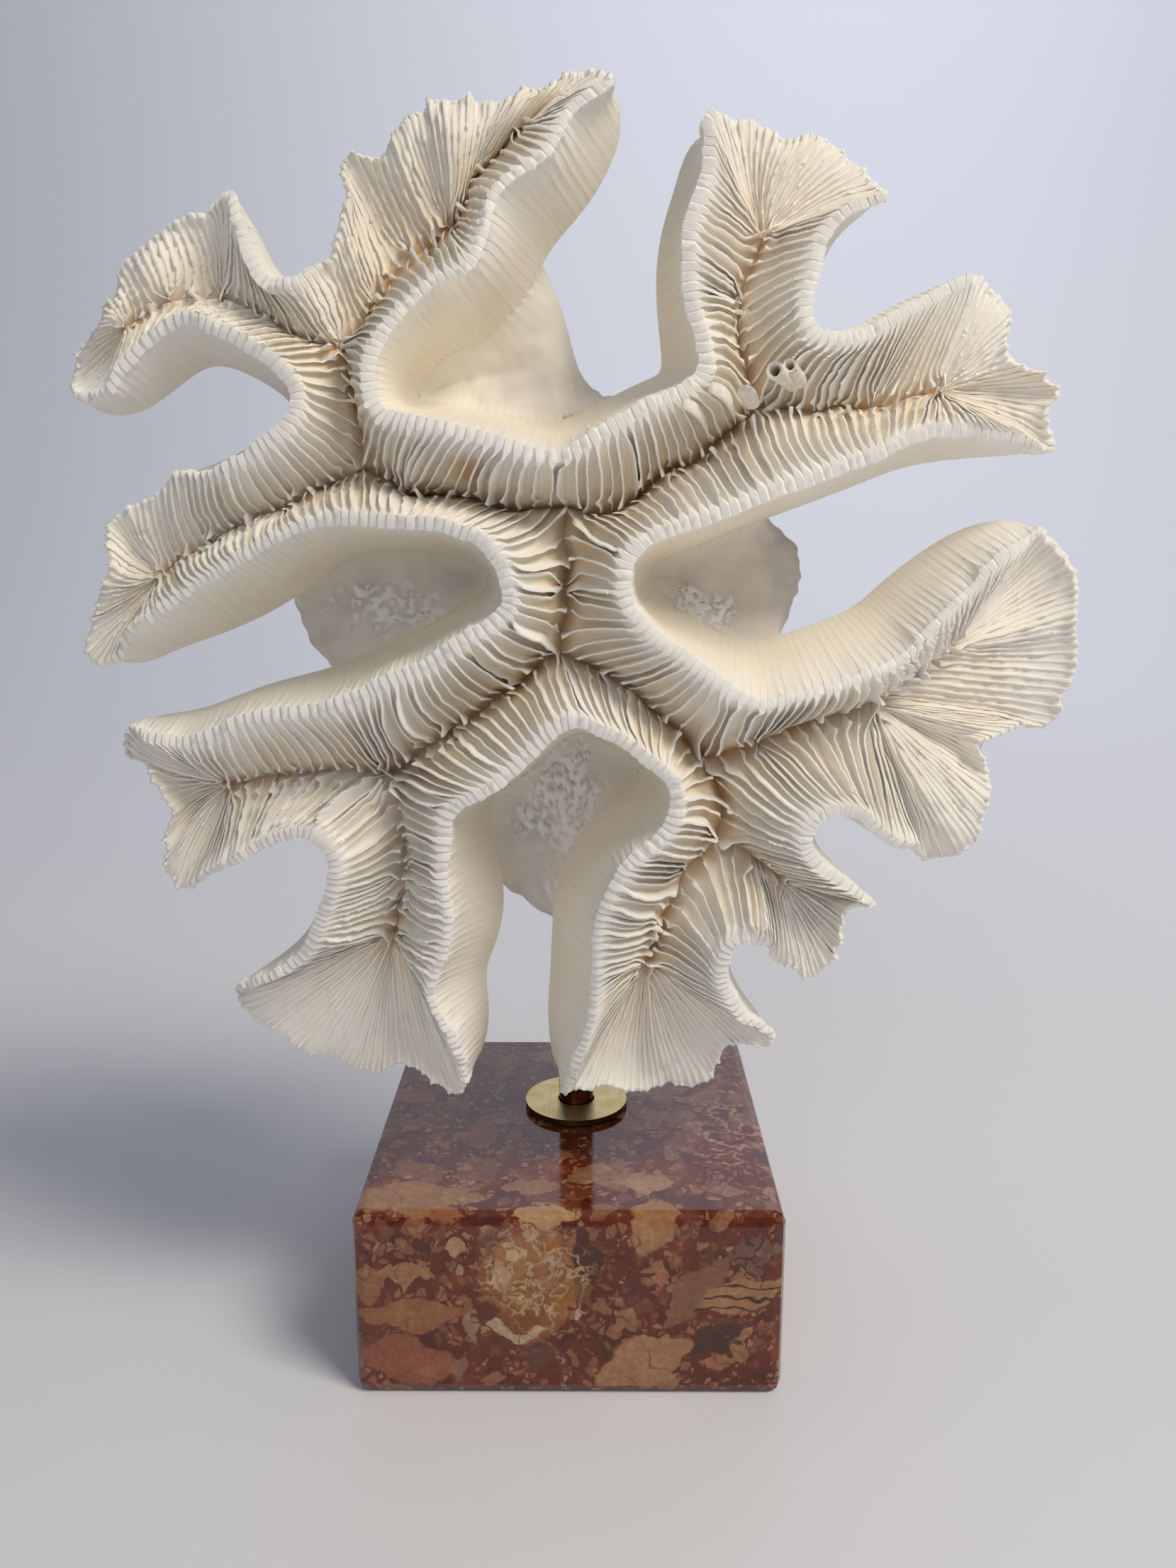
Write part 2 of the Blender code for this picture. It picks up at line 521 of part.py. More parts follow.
def make_washer(parts, cutters):
    """Flat brass washer round the foot of the rod, resting on the block."""
    brass = material("brass", (0.72, 0.62, 0.30), 0.3, 1.0)
    low = BLOCK_HEIGHT + FIT_GAP
    washer = round_bar("washer", WASHER_RADIUS, low, low + WASHER_THICK, ROD_AT, brass, parts, 48)
    hole = as_cutter(round_bar("washer_hole", ROD_RADIUS + FIT_GAP, low - 0.002, low + WASHER_THICK + 0.002,
                               ROD_AT, None, cutters, 24))
    boolean(washer, hole, "DIFFERENCE")
    return washer


def make_block(parts, cutters):
    """Square marble block with a polished chamfer and a drilled seat for the rod."""
    marble = material("red_marble", (0.36, 0.16, 0.12), 0.18)
    bpy.ops.mesh.primitive_cube_add(size=1.0, location=(0.0, 0.0, BLOCK_HEIGHT / 2))
    block = bpy.context.object
    block.name = "marble_block"
    block.data.name = "marble_block"
    block.scale = (BLOCK_SIDE, BLOCK_SIDE, BLOCK_HEIGHT)
    bpy.ops.object.transform_apply(location=False, rotation=False, scale=True)
    block.data.materials.append(marble)
    for owner in list(block.users_collection):
        owner.objects.unlink(block)
    parts.objects.link(block)
    seat = as_cutter(round_bar("rod_seat", ROD_RADIUS + FIT_GAP, BLOCK_HEIGHT - ROD_SEAT - FIT_GAP,
                               BLOCK_HEIGHT + 0.005, ROD_AT, None, cutters, 24))
    bevel = block.modifiers.new("chamfer", "BEVEL")
    bevel.width = BLOCK_CHAMFER
    bevel.segments = 2
    drilled = block.modifiers.new("seat", "BOOLEAN")
    drilled.object = seat
    drilled.operation = "DIFFERENCE"
    drilled.solver = "EXACT"
    return block


def main():
    """Clear the scene and build every piece."""
    for obj in list(bpy.data.objects):
        bpy.data.objects.remove(obj, do_unlink=True)
    parts = bpy.data.collections.new("brain_coral")
    cutters = bpy.data.collections.new("cutters")
    bpy.context.scene.collection.children.link(parts)
    bpy.context.scene.collection.children.link(cutters)
    make_block(parts, cutters)
    make_washer(parts, cutters)
    make_rod(parts)
    make_coral(parts, cutters)


main()
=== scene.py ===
import math

import bmesh
import bpy
import numpy as np
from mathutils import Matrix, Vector
from mathutils.kdtree import KDTree


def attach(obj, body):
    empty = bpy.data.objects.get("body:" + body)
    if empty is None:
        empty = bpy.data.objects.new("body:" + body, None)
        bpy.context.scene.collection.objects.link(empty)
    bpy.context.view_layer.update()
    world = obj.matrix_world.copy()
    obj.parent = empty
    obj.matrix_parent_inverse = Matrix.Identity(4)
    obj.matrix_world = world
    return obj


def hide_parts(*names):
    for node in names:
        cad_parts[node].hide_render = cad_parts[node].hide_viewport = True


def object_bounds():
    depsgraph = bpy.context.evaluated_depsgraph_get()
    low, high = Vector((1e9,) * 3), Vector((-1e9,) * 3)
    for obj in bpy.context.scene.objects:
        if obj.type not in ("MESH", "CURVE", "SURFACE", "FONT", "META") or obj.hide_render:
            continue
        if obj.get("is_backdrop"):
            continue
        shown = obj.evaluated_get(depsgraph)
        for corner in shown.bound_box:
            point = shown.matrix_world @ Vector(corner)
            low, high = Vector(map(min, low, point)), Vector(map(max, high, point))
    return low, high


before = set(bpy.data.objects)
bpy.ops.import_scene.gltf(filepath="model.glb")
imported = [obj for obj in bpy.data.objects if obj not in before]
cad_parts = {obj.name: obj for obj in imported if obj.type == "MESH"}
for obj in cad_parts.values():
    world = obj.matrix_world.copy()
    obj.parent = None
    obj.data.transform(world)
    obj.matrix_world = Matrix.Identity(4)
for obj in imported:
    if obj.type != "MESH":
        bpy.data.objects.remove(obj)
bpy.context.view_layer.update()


# Camera
# A phone held a little above the coral's middle, about 20 cm in front of the crests, tilted down.
CAMERA_AT = (0.00451, -0.24908, 0.16197)
TILT_DOWN = 11.95
TURN_LEFT = 0.262


def in_scene(name, data):
    """A new object for a mesh, lamp or camera, in the scene."""
    obj = bpy.data.objects.new(name, data)
    bpy.context.scene.collection.objects.link(obj)
    return obj


camera_data = bpy.data.cameras.new("camera")
camera_data.sensor_width = 36.0
camera_data.lens = 29.0
camera_data.clip_start = 0.01
camera = in_scene("camera", camera_data)
camera.location = CAMERA_AT
camera.rotation_euler = (math.radians(90.0 - TILT_DOWN), 0.0, math.radians(TURN_LEFT))
bpy.context.scene.camera = camera


# Studio
# A pale cloth that lies flat under the block and rises behind it in one soft bend. A large soft
# lamp stands high on the right, a weak one in front, and a third behind lights the cloth alone.
def linear(hex_colour):
    """sRGB hex to the linear values that shaders take."""
    parts = [int(hex_colour[i:i + 2], 16) / 255 for i in (1, 3, 5)]
    return [c / 12.92 if c <= 0.04045 else ((c + 0.055) / 1.055) ** 2.4 for c in parts] + [1.0]


def feed(tree, sockets, inputs):
    """Give sockets, by name or by place, their values or links."""
    for place, value in inputs.items():
        if isinstance(value, bpy.types.NodeSocket):
            tree.links.new(value, sockets[place])
        else:
            sockets[place].default_value = value


def add(tree, kind, inputs=(), out=0, stops=(), **settings):
    """Add a node with its settings; its inputs, in the order of its shown sockets or by name, are
    values or links. Gives one of its outputs."""
    node = tree.nodes.new(kind)
    for name, value in settings.items():
        setattr(node, name, value)
    if isinstance(inputs, dict):
        feed(tree, node.inputs, inputs)
    else:
        feed(tree, [socket for socket in node.inputs if socket.enabled], dict(enumerate(inputs)))
    for place, (at, colour) in enumerate(stops):
        element = node.color_ramp.elements[place] if place < 2 else node.color_ramp.elements.new(at)
        element.position = at
        element.color = colour
    return [o for o in node.outputs if o.enabled][out] if isinstance(out, int) else node.outputs[out]


def new_material(name):
    """A material with a Principled shader, its node tree and that shader."""
    mat = bpy.data.materials.new(name)
    mat.use_nodes = True
    return mat, mat.node_tree, mat.node_tree.nodes["Principled BSDF"]


CLOTH_HALF = 2.0
CLOTH_FRONT = -0.9
CLOTH_BEND_AT = 0.55
CLOTH_BEND = 0.9
CLOTH_TOP = 1.8
BEND_STEPS = 24
cloth_points = [(CLOTH_FRONT, 0.0), (CLOTH_BEND_AT, 0.0)]
for step in range(1, BEND_STEPS + 1):
    turn = math.radians(90 * step / BEND_STEPS)
    cloth_points.append((CLOTH_BEND_AT + CLOTH_BEND * math.sin(turn), CLOTH_BEND * (1 - math.cos(turn))))
cloth_points.append((CLOTH_BEND_AT + CLOTH_BEND, CLOTH_TOP))
cloth_mesh = bpy.data.meshes.new("cloth_backdrop")
cloth_mesh.from_pydata([(x, y, z) for y, z in cloth_points for x in (-CLOTH_HALF, CLOTH_HALF)], [],
                       [(2 * i, 2 * i + 1, 2 * i + 3, 2 * i + 2) for i in range(len(cloth_points) - 1)])
for face in cloth_mesh.polygons:
    face.use_smooth = True
cloth_backdrop = in_scene("cloth_backdrop", cloth_mesh)
cloth, tree, shader = new_material("matt_cloth")
feed(tree, shader.inputs, {"Base Color": linear("#E9EBF1"), "Roughness": 0.95, "Specular IOR Level": 0.1})
cloth_mesh.materials.append(cloth)
cloth_backdrop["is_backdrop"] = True


def soft_lamp(name, at, aim, size, watts, colour):
    """A square area lamp turned towards a point."""
    data = bpy.data.lights.new(name, "AREA")
    data.size = size
    data.energy = watts
    data.color = linear(colour)[:3]
    lamp = in_scene(name, data)
    lamp.location = at
    lamp.rotation_euler = (Vector(aim) - Vector(at)).to_track_quat("-Z", "Y").to_euler()


soft_lamp("main_lamp", (0.55, -0.46, 0.92), (0.0, 0.0, 0.12), 0.42, 7.5, "#FFF6E8")
soft_lamp("front_lamp", (-0.15, -0.95, 0.62), (0.0, 0.0, 0.12), 0.6, 1.35, "#F6F7FF")
soft_lamp("backdrop_lamp", (0.35, 0.35, 1.25), (0.3, 1.6, 0.9), 0.9, 10.0, "#F1F3FF")
world = bpy.data.worlds.new("studio_air")
world.use_nodes = True
feed(world.node_tree, world.node_tree.nodes["Background"].inputs, {"Color": linear("#E6E9F2"), "Strength": 0.17})
bpy.context.scene.world = world
bpy.context.scene.view_settings.view_transform = "Standard"


# Coral wall
# One calcareous wall winds round every lobe. On its inner side thin plates (septa) run down from
# the crest to a crooked floor; its outer side is a smooth skin with faint ribs that falls into
# the hollows. It grew as one piece, and is made here as one loft along the crest, cut at the
# four main forks like the solids it stands for.
MM = 0.001
# The upright plane on which outlines were read, and the eye they were read from (x, y, z), in mm
FRONT_PLANE = -45.0
VIEW_POINT = (4.5, -249.0, 162.0)
CENTRE = (0.0, 150.0)
# Depth of the crests: foremost in the middle, falling back as a dome, less below; rims lie behind
CREST_FRONT = -47.0
DOME = 0.0028
DOME_LOW = 0.0021
LOW_BELOW = 30.0
RIM_BACK = 3.5
# Depth of the valley floors, and of the underside below them, by the distance from the middle
FLOOR_DEPTH = ((0, 30, 60, 80), (-34.0, -31.5, -28.5, -26.0))
KEEL_DEPTH = ((0, 25, 42, 60, 80), (1.0, 0.0, -5.5, -15.5, -22.0))
# Septa: spacing, thickness of a plate, of its root at the crest and of its lobe by the floor
SEPTUM_SPACING = 1.45
SEPTUM_THICK = 0.38
THICK_AT_CREST = 1.38
THICKER_AT_LOBE = 0.35
CREST_HALF_WIDTH = 1.0
RIM_THINNER = 0.65
WALL_THINNER = 0.4
BROAD_LEAN = (6.5, 8.5)
INNER_ROWS = 40
OUTER_ROWS = 18
# How far septa pass the crest: least, at random more, and more again at a rim
EXSERT = (0.02, 0.14, 0.7)
# Section of a valley: share of its depth that slopes down, and that falls in the crevice at its floor
SLOPE_SHARE = 0.89
CREVICE_SHARE = 0.08
CREVICE_FROM = 0.84
RIDGE_SHARE = 0.86
RIDGE_CURVE = 2.4
# Unevenness: of the crest and the rims, of the fans, of the floor and of single plates
RIM_RAGGED = 1.7
CREST_RAGGED = 0.25
RIM_WAVE = 1.1
CREST_WAVE = 0.25
CREST_SHIFT = 0.2
FAN_FOLD = 3.8
FAN_PLEAT = 2.1
TALL_IN_FAN = 0.6
FLOOR_WANDER = 0.9
FLOOR_ROUGH = 0.8
SECOND_CYCLE = 0.78
HEIGHT_VARIES = 0.18
LOBE_AT = (0.84, 0.96)
LOBE_WIDE = 0.04
LOBE_HEIGHT = 2.6
LOBE_SHARE = 0.65
LOBE_OVERHANG = 0.55
TEETH = 0.16
TORN_TEETH = 0.35
TEARS = 0.7
HOOK = 0.95
SWAY = 1.05
# Outer skin: ribs at the crest and below it, and soft waves
RIB_AT_CREST = 0.17
RIB_BELOW = 0.015
RIB_FADES = (3.0, 25.0)
SKIN_WAVE = 0.6
# Where the plates lie over one another like pages, with torn edges: (x, z, radius, lean)
PAGES = [(32, 105, 9, 0.9), (21, 92, 8, -0.9), (-52, 113, 10, 0.8), (-33, 84, 10, 0.9), (-45, 88, 9, -0.6),
         (60, 138, 10, 0.9), (56, 122, 11, -0.8), (-22, 212, 10, -0.8), (-60, 197, 10, 0.7), (48, 185, 10, -0.6)]
SHARP_ANGLE = 42
SEED = 11

# Dirt and stains: (x, z, y) as seen on the front plane, half sizes in mm, strength, in gaps alone, colour
STAINS = [
    ((33.1, 204.5, -35), (2.2, 5.0, 2.8), 0.55, False, "#8A5234"),
    ((48.0, 170.9, -46), (2.6, 3.0, 1.6), 0.3, False, "#7FBFA6"),
    ((-15.5, 168.4, -41), (4.5, 6.0, 4.0), 0.75, True, "#C9924A"),
    ((-25.5, 175.0, -47), (3.6, 2.5, 2.4), 0.9, True, "#6A6460"),
    ((14.2, 84.0, -36), (3.4, 9.0, 12.0), 0.7, True, "#B0763C"),
    ((-28.0, 96.0, -34), (3.0, 7.0, 12.0), 0.5, True, "#B58A58"),
    ((-28.0, 121.0, -36), (12.0, 8.0, 6.0), 0.6, True, "#9C7A50"),
    ((22.0, 124.0, -36), (10.0, 8.0, 8.0), 0.4, True, "#A98A60"),
    ((-20.5, 203.0, -34), (2.0, 6.0, 5.0), 0.5, True, "#B08A50"),
    ((10.0, 126.0, -42), (7.0, 5.0, 4.0), 0.35, True, "#C9A566"),
]
# Small holes in the walls, shown only as dark painted spots, painted shade where their insides would be: (x, z, y),
# half sizes in mm
PAINTED_HOLE_SHADES = [((34.5, 155.3, -27), (1.1, 4.0, 0.75)), ((28.1, 121.1, -44), (0.9, 3.0, 0.6)),
         ((-17.6, 126.6, -32), (1.4, 3.5, 1.2))]

# The valley floors: forks (j), and places on the way to each lobe's end, (x, z) on the front plane in mm
FLOOR = {
    "c0": (0.0, 163.0), "c1": (0.3, 151.0), "c2": (-0.5, 141.0),
    "a1": (-7.0, 163.5), "a2": (-15.0, 164.7), "a3": (-24.0, 165.2), "ja": (-31.0, 169.5),
    "l1": (-37.5, 166.8), "l2": (-44.0, 163.8), "l3": (-51.0, 160.4), "l4": (-58.0, 156.8), "l5": (-64.0, 153.0),
    "b1": (-32.7, 179.0), "jb": (-33.8, 187.0),
    "t1": (-28.3, 194.0), "t2": (-23.0, 199.8), "t3": (-17.3, 204.5), "t4": (-13.3, 211.0), "t5": (-6.0, 218.0),
    "s1": (-40.0, 189.7), "s2": (-46.5, 192.0), "s3": (-53.0, 194.0), "s4": (-60.0, 194.3), "s5": (-67.0, 190.0),
    "w1": (7.5, 163.2), "w2": (15.0, 168.0), "w3": (23.0, 172.3), "jw": (30.0, 178.0),
    "f1": (27.5, 187.0), "f2": (26.8, 194.5), "f3": (30.5, 203.5),
    "e1": (38.0, 178.2), "e2": (47.0, 179.0), "e3": (57.0, 181.0),
    "q1": (7.0, 136.8), "q2": (13.5, 131.8), "jq": (22.5, 123.6),
    "d1": (31.0, 126.3), "d2": (40.0, 129.3), "jd": (49.0, 132.0), "k1": (55.5, 136.5), "k2": (61.5, 141.5),
    "r1": (25.7, 116.5), "jr": (24.6, 110.5), "o1": (31.0, 107.0), "o2": (36.0, 102.5),
    "v1": (19.5, 104.0), "v2": (16.2, 96.5), "v3": (13.0, 88.0),
    "p1": (-7.0, 136.0), "p2": (-14.0, 131.3), "p3": (-21.0, 126.3), "jp": (-29.0, 120.8),
    "g1": (-37.5, 121.2), "g2": (-46.0, 120.3), "g3": (-56.0, 118.8),
    "h1": (-27.5, 113.0), "h2": (-26.7, 104.0), "h3": (-29.8, 93.5),
}

# How the wall stands below its crest: (outward lean, drop to its widest place), in mm
HOLLOW = (5.5, 26.0)
WALL = (9.0, 20.0)
UPRIGHT = (4.5, 20.0)
NOTCH = (1.8, 11.0)
FLARE = (8.5, 13.0)
RIM = (-0.6, 2.8)

# The crest, once round the coral and clockwise from the front: (x, z, floor it looks down on)
CREST = [
    ("top hollow, left wall", WALL, [
        (7.0, 224.8, "t5"), (1.3, 221.2, "t5"), (-2.4, 215.6, "t5"), (-9.8, 210.2, "t4"), (-12.2, 204.0, "t3"),
        (-14.8, 198.9, "t3"), (-20.0, 196.8, "t2"), (-25.0, 193.0, "t1")]),
    ("top hollow", HOLLOW, [
        (-28.7, 189.2, "jb"), (-30.2, 184.5, "jb"), (-30.3, 180.5, "b1"), (-28.3, 177.3, "ja"),
        (-24.0, 176.0, "a3"), (-18.0, 175.2, "a3"), (-12.0, 173.5, "a2"), (-6.0, 171.7, "a1"),
        (0.0, 171.6, "c0"), (6.0, 175.3, "w1"), (12.0, 178.8, "w2"), (18.0, 181.0, "w3"), (21.6, 184.2, "jw")]),
    ("top hollow, right wall", UPRIGHT, [
        (21.2, 189.0, "f1"), (19.4, 195.0, "f2"), (18.9, 202.0, "f2"), (20.3, 207.5, "f3"), (22.0, 214.0, "f3"),
        (21.8, 219.6, "f3")]),
    ("top right rim", RIM, [
        (25.0, 219.7, "f3"), (29.5, 219.2, "f3"), (33.5, 216.7, "f3"), (38.0, 217.6, "f3"), (43.2, 215.0, "f3"),
        (48.8, 209.7, "f3")]),
    ("top right notch", NOTCH, [
        (43.0, 208.0, "f3"), (39.2, 204.3, "f3"), (38.7, 199.0, "f2"), (37.2, 194.0, "f1"), (38.3, 189.9, "jw"),
        (43.5, 188.8, "e1"), (50.0, 191.5, "e2"), (56.0, 195.0, "e2"), (61.5, 198.0, "e3")]),
    ("right upper rim", RIM, [
        (64.3, 195.0, "e3"), (67.7, 191.0, "e3"), (68.6, 186.5, "e3"), (73.0, 182.0, "e3"), (72.3, 177.3, "e3"),
        (75.0, 172.6, "e3")]),
    ("right hollow, upper wall", UPRIGHT, [
        (69.0, 174.4, "e3"), (62.0, 175.0, "e3"), (56.0, 174.8, "e3"), (49.5, 172.0, "e2"), (42.5, 169.3, "e1")]),
    ("right hollow", HOLLOW, [
        (35.5, 166.6, "jw"), (28.5, 163.7, "w3"), (20.5, 161.3, "w2"), (14.0, 158.7, "w1"), (10.3, 155.6, "c0"),
        (9.4, 151.3, "c1"), (10.6, 147.2, "c1"), (13.6, 143.7, "c2"), (18.0, 140.6, "q1"), (22.5, 137.6, "q2"),
        (27.0, 133.9, "jq")]),
    ("right hollow, lower wall", WALL, [
        (32.0, 132.2, "d1"), (38.0, 133.4, "d1"), (44.0, 135.0, "d2"), (50.0, 137.5, "jd"), (54.7, 140.2, "k1"),
        (58.0, 143.6, "k1"), (62.0, 147.5, "k2"), (66.2, 152.2, "k2"), (71.0, 156.6, "k2")]),
    ("right rim", RIM, [
        (76.5, 157.7, "k2"), (80.0, 152.5, "k2"), (81.9, 147.0, "k2"), (81.8, 140.5, "k2"), (80.3, 133.5, "k1"),
        (78.0, 128.0, "jd"), (73.0, 126.2, "jd"), (67.9, 125.7, "jd"), (68.2, 121.0, "jd"), (69.8, 115.3, "jd"),
        (68.0, 110.2, "jd"), (64.2, 106.9, "jd"), (60.0, 105.3, "jd")]),
    ("right lower notch", NOTCH, [
        (56.0, 107.5, "jd"), (52.4, 110.8, "jd"), (48.6, 113.8, "d2"), (44.8, 114.5, "d1"), (41.6, 112.8, "d1"),
        (40.0, 110.4, "jq"), (39.9, 108.2, "r1"), (40.7, 106.3, "jr"), (42.5, 104.4, "o1"), (46.5, 101.3, "o2")]),
    ("lower right rim", RIM, [
        (53.0, 97.2, "o2"), (49.0, 96.6, "o2"), (46.0, 96.8, "o2"), (45.3, 93.0, "o2"), (43.7, 88.0, "o2"),
        (41.4, 85.2, "o2"), (38.0, 88.0, "o2"), (34.8, 90.6, "o1")]),
    ("bottom right notch", NOTCH, [
        (31.5, 92.3, "o1"), (28.8, 91.8, "jr"), (27.0, 90.0, "v1"), (26.7, 86.6, "v2"), (27.2, 82.5, "v3"),
        (30.2, 77.7, "v3")]),
    ("bottom right rim", RIM, [
        (34.4, 73.7, "v3"), (31.0, 72.7, "v3"), (28.0, 71.0, "v3"), (24.5, 67.4, "v3"), (20.0, 65.9, "v3"),
        (15.0, 66.0, "v3"), (10.0, 64.4, "v3"), (5.5, 64.6, "v3"), (1.6, 64.8, "v3"), (-1.3, 63.5, "v3")]),
    ("bottom hollow, right wall", WALL, [
        (0.8, 68.0, "v3"), (2.8, 73.2, "v3"), (4.2, 79.0, "v3"), (4.8, 86.0, "v3"), (5.0, 92.0, "v2"),
        (6.3, 98.0, "v2"), (8.7, 103.0, "v1")]),
    ("bottom hollow", HOLLOW, [
        (12.3, 106.6, "v1"), (15.5, 109.4, "jr"), (17.6, 112.4, "jr"), (18.3, 115.6, "r1"), (17.4, 118.9, "jq"),
        (14.0, 122.2, "q2"), (8.8, 126.2, "q1"), (4.5, 128.4, "c2"), (1.0, 128.9, "c2"), (-2.4, 127.4, "p1"),
        (-6.6, 123.3, "p2"), (-12.2, 118.7, "p3"), (-17.0, 116.2, "jp"), (-19.7, 113.6, "jp"), (-20.3, 109.0, "h1")]),
    ("bottom hollow, left wall", WALL, [
        (-20.3, 103.0, "h2"), (-20.2, 96.5, "h2"), (-20.9, 90.0, "h3"), (-22.6, 85.2, "h3"), (-23.4, 81.2, "h3"),
        (-21.8, 76.6, "h3"), (-19.4, 71.2, "h3")]),
    ("bottom left rim", RIM, [
        (-19.5, 64.6, "h3"), (-22.5, 67.6, "h3"), (-26.0, 69.2, "h3"), (-30.5, 69.0, "h3"), (-35.0, 67.5, "h3"),
        (-40.0, 70.8, "h3"), (-46.0, 73.2, "h3"), (-51.5, 77.2, "h3"), (-57.5, 82.3, "h3")]),
    ("bottom left notch", NOTCH, [
        (-51.5, 84.8, "h3"), (-45.7, 87.8, "h3"), (-42.6, 92.0, "h3"), (-40.9, 96.5, "h2"), (-39.4, 101.0, "h2"),
        (-38.9, 105.0, "h1"), (-40.3, 108.6, "jp"), (-43.4, 110.3, "jp"), (-47.5, 110.0, "g1"),
        (-52.3, 108.1, "g2"), (-57.0, 105.0, "g3")]),
    ("left lower rim", RIM, [
        (-64.3, 100.4, "g3"), (-66.8, 103.8, "g3"), (-67.4, 109.0, "g3"), (-67.9, 114.5, "g3"),
        (-70.5, 119.8, "g3"), (-72.9, 124.2, "g3"), (-71.4, 128.8, "g3")]),
    ("left hollow, lower wall", UPRIGHT, [
        (-67.8, 127.3, "g3"), (-63.5, 126.4, "g3"), (-58.5, 127.2, "g3"),
        (-52.0, 129.6, "g2"), (-44.5, 130.6, "g1")]),
    ("left hollow", HOLLOW, [
        (-38.2, 131.5, "jp"), (-33.0, 133.7, "jp"), (-28.0, 136.0, "p3"), (-22.0, 139.3, "p2"), (-16.7, 142.4, "p1"),
        (-12.6, 144.6, "c2"), (-9.9, 147.0, "c2"), (-9.2, 150.0, "c1"), (-9.8, 153.2, "c1"), (-11.8, 156.4, "c0"),
        (-15.0, 159.0, "a1"), (-20.0, 160.6, "a2"), (-26.0, 160.8, "a3"), (-32.0, 161.2, "ja"), (-37.5, 161.6, "l1")]),
    ("left hollow, upper wall", WALL, [
        (-43.0, 160.2, "l2"), (-47.6, 158.2, "l2"), (-51.6, 155.9, "l3"), (-57.0, 153.0, "l4"), (-62.0, 149.7, "l5"),
        (-68.0, 145.4, "l5")]),
    ("left rim", RIM, [
        (-75.4, 140.6, "l5"), (-75.8, 146.0, "l5"), (-73.3, 150.3, "l5"), (-71.7, 154.5, "l5"),
        (-72.1, 161.4, "l5"), (-67.3, 164.7, "l5"), (-61.0, 167.2, "l4")]),
    ("left upper hollow", UPRIGHT, [
        (-55.0, 169.8, "l3"), (-49.7, 171.6, "l2"), (-45.2, 174.2, "l1"), (-42.6, 177.8, "ja"), (-42.3, 181.3, "b1"),
        (-44.5, 184.7, "jb"), (-48.6, 187.8, "s1"), (-53.5, 190.5, "s2"), (-58.0, 192.1, "s3")]),
    ("left upper hollow, flared wall", FLARE, [
        (-63.4, 189.6, "s4"), (-68.3, 185.2, "s5"), (-72.0, 182.0, "s5")]),
    ("left upper rim", RIM, [
        (-76.0, 181.0, "s5"), (-75.3, 184.8, "s5"), (-73.0, 188.3, "s5"), (-70.2, 191.6, "s5"), (-67.8, 196.0, "s5"),
        (-64.5, 200.0, "s4"), (-60.5, 203.6, "s4"), (-56.2, 206.0, "s3"), (-53.0, 207.9, "s3")]),
    ("left upper notch", NOTCH, [
        (-50.0, 209.5, "s3"), (-48.8, 205.2, "s3"), (-47.6, 200.7, "s2"), (-45.3, 197.2, "s1"), (-41.2, 196.9, "jb")]),
    ("top left rim", RIM, [
        (-37.6, 199.4, "jb"), (-35.1, 204.0, "t1"), (-33.5, 209.3, "t1"), (-32.9, 214.6, "t2"), (-29.0, 216.8, "t2"),
        (-24.5, 217.3, "t3"), (-21.9, 219.4, "t3"), (-20.2, 222.4, "t3"), (-15.0, 223.3, "t3"), (-9.5, 222.2, "t4"),
        (-4.5, 223.4, "t4"), (0.0, 225.2, "t5"), (3.6, 224.7, "t5")]),
]

# Where each arm leaves the middle: its junction, and the crests on its two sides
ARMS = {
    "arm_upper_right": ("jw", ((21.6, 184.2), (35.5, 166.6))),
    "arm_lower_right": ("jq", ((27.0, 133.9), (17.4, 118.9))),
    "arm_lower_left": ("jp", ((-19.7, 113.6), (-33.0, 133.7))),
    "arm_upper_left": ("ja", ((-32.0, 161.2), (-28.3, 177.3))),
}

rng = np.random.default_rng(SEED)


def seen(x, z, y):
    """The real point at depth y that is seen at (x, z) on the front plane, in mm."""
    far = (y - VIEW_POINT[1]) / (FRONT_PLANE - VIEW_POINT[1])
    return np.array([VIEW_POINT[0] + (x - VIEW_POINT[0]) * far, y, VIEW_POINT[2] + (z - VIEW_POINT[2]) * far])


def radius(x, z):
    """Distance from the coral's middle, on the front plane."""
    return math.hypot(x - CENTRE[0], z - CENTRE[1])


def floor_depth(r):
    """Depth of a valley floor at radius r."""
    return float(np.interp(r, *FLOOR_DEPTH))


def keel_depth(r):
    """Depth of the underside below a valley floor at radius r."""
    return float(np.interp(r, *KEEL_DEPTH))


def smoothed(values, times):
    """Values round the closed crest, each mixed with its neighbours."""
    for _ in range(times):
        values = (np.roll(values, 1, axis=0) + 2 * values + np.roll(values, -1, axis=0)) / 4
    return values


def hermite(a, b, way_a, way_b, t):
    """A point at t on the smooth curve from a to b that leaves and arrives along the given ways."""
    return ((2 * t ** 3 - 3 * t ** 2 + 1) * a + (t ** 3 - 2 * t ** 2 + t) * way_a
            + (3 * t ** 2 - 2 * t ** 3) * b + (t ** 3 - t ** 2) * way_b)


def tree_point(places, edges, a, b, t):
    """A point on the line of floors, or of keels, between two neighbours."""
    if a == b:
        return places[a]

    def way(at, other):
        rest = [n for n in edges[at] if n != other]
        if len(rest) == 1:
            return (places[other] - places[rest[0]]) / 2
        return places[other] - places[at]

    return hermite(places[a], places[b], way(a, b), -way(b, a), t)


def soft_noise(x, z, cell):
    """Smooth random relief with features about one cell wide, -1 to 1, for points in mm."""
    table = np.random.default_rng(int(cell * 100)).uniform(-1, 1, (128, 128))
    u, v = x / cell + 500.0, z / cell + 500.0
    i, k = np.floor(u).astype(int), np.floor(v).astype(int)
    fu, fv = step_up(0.0, 1.0, u - i), step_up(0.0, 1.0, v - k)
    corner = [[table[(i + a) % 128, (k + b) % 128] for b in (0, 1)] for a in (0, 1)]
    return ((corner[0][0] * (1 - fu) + corner[1][0] * fu) * (1 - fv)
            + (corner[0][1] * (1 - fu) + corner[1][1] * fu) * fv)


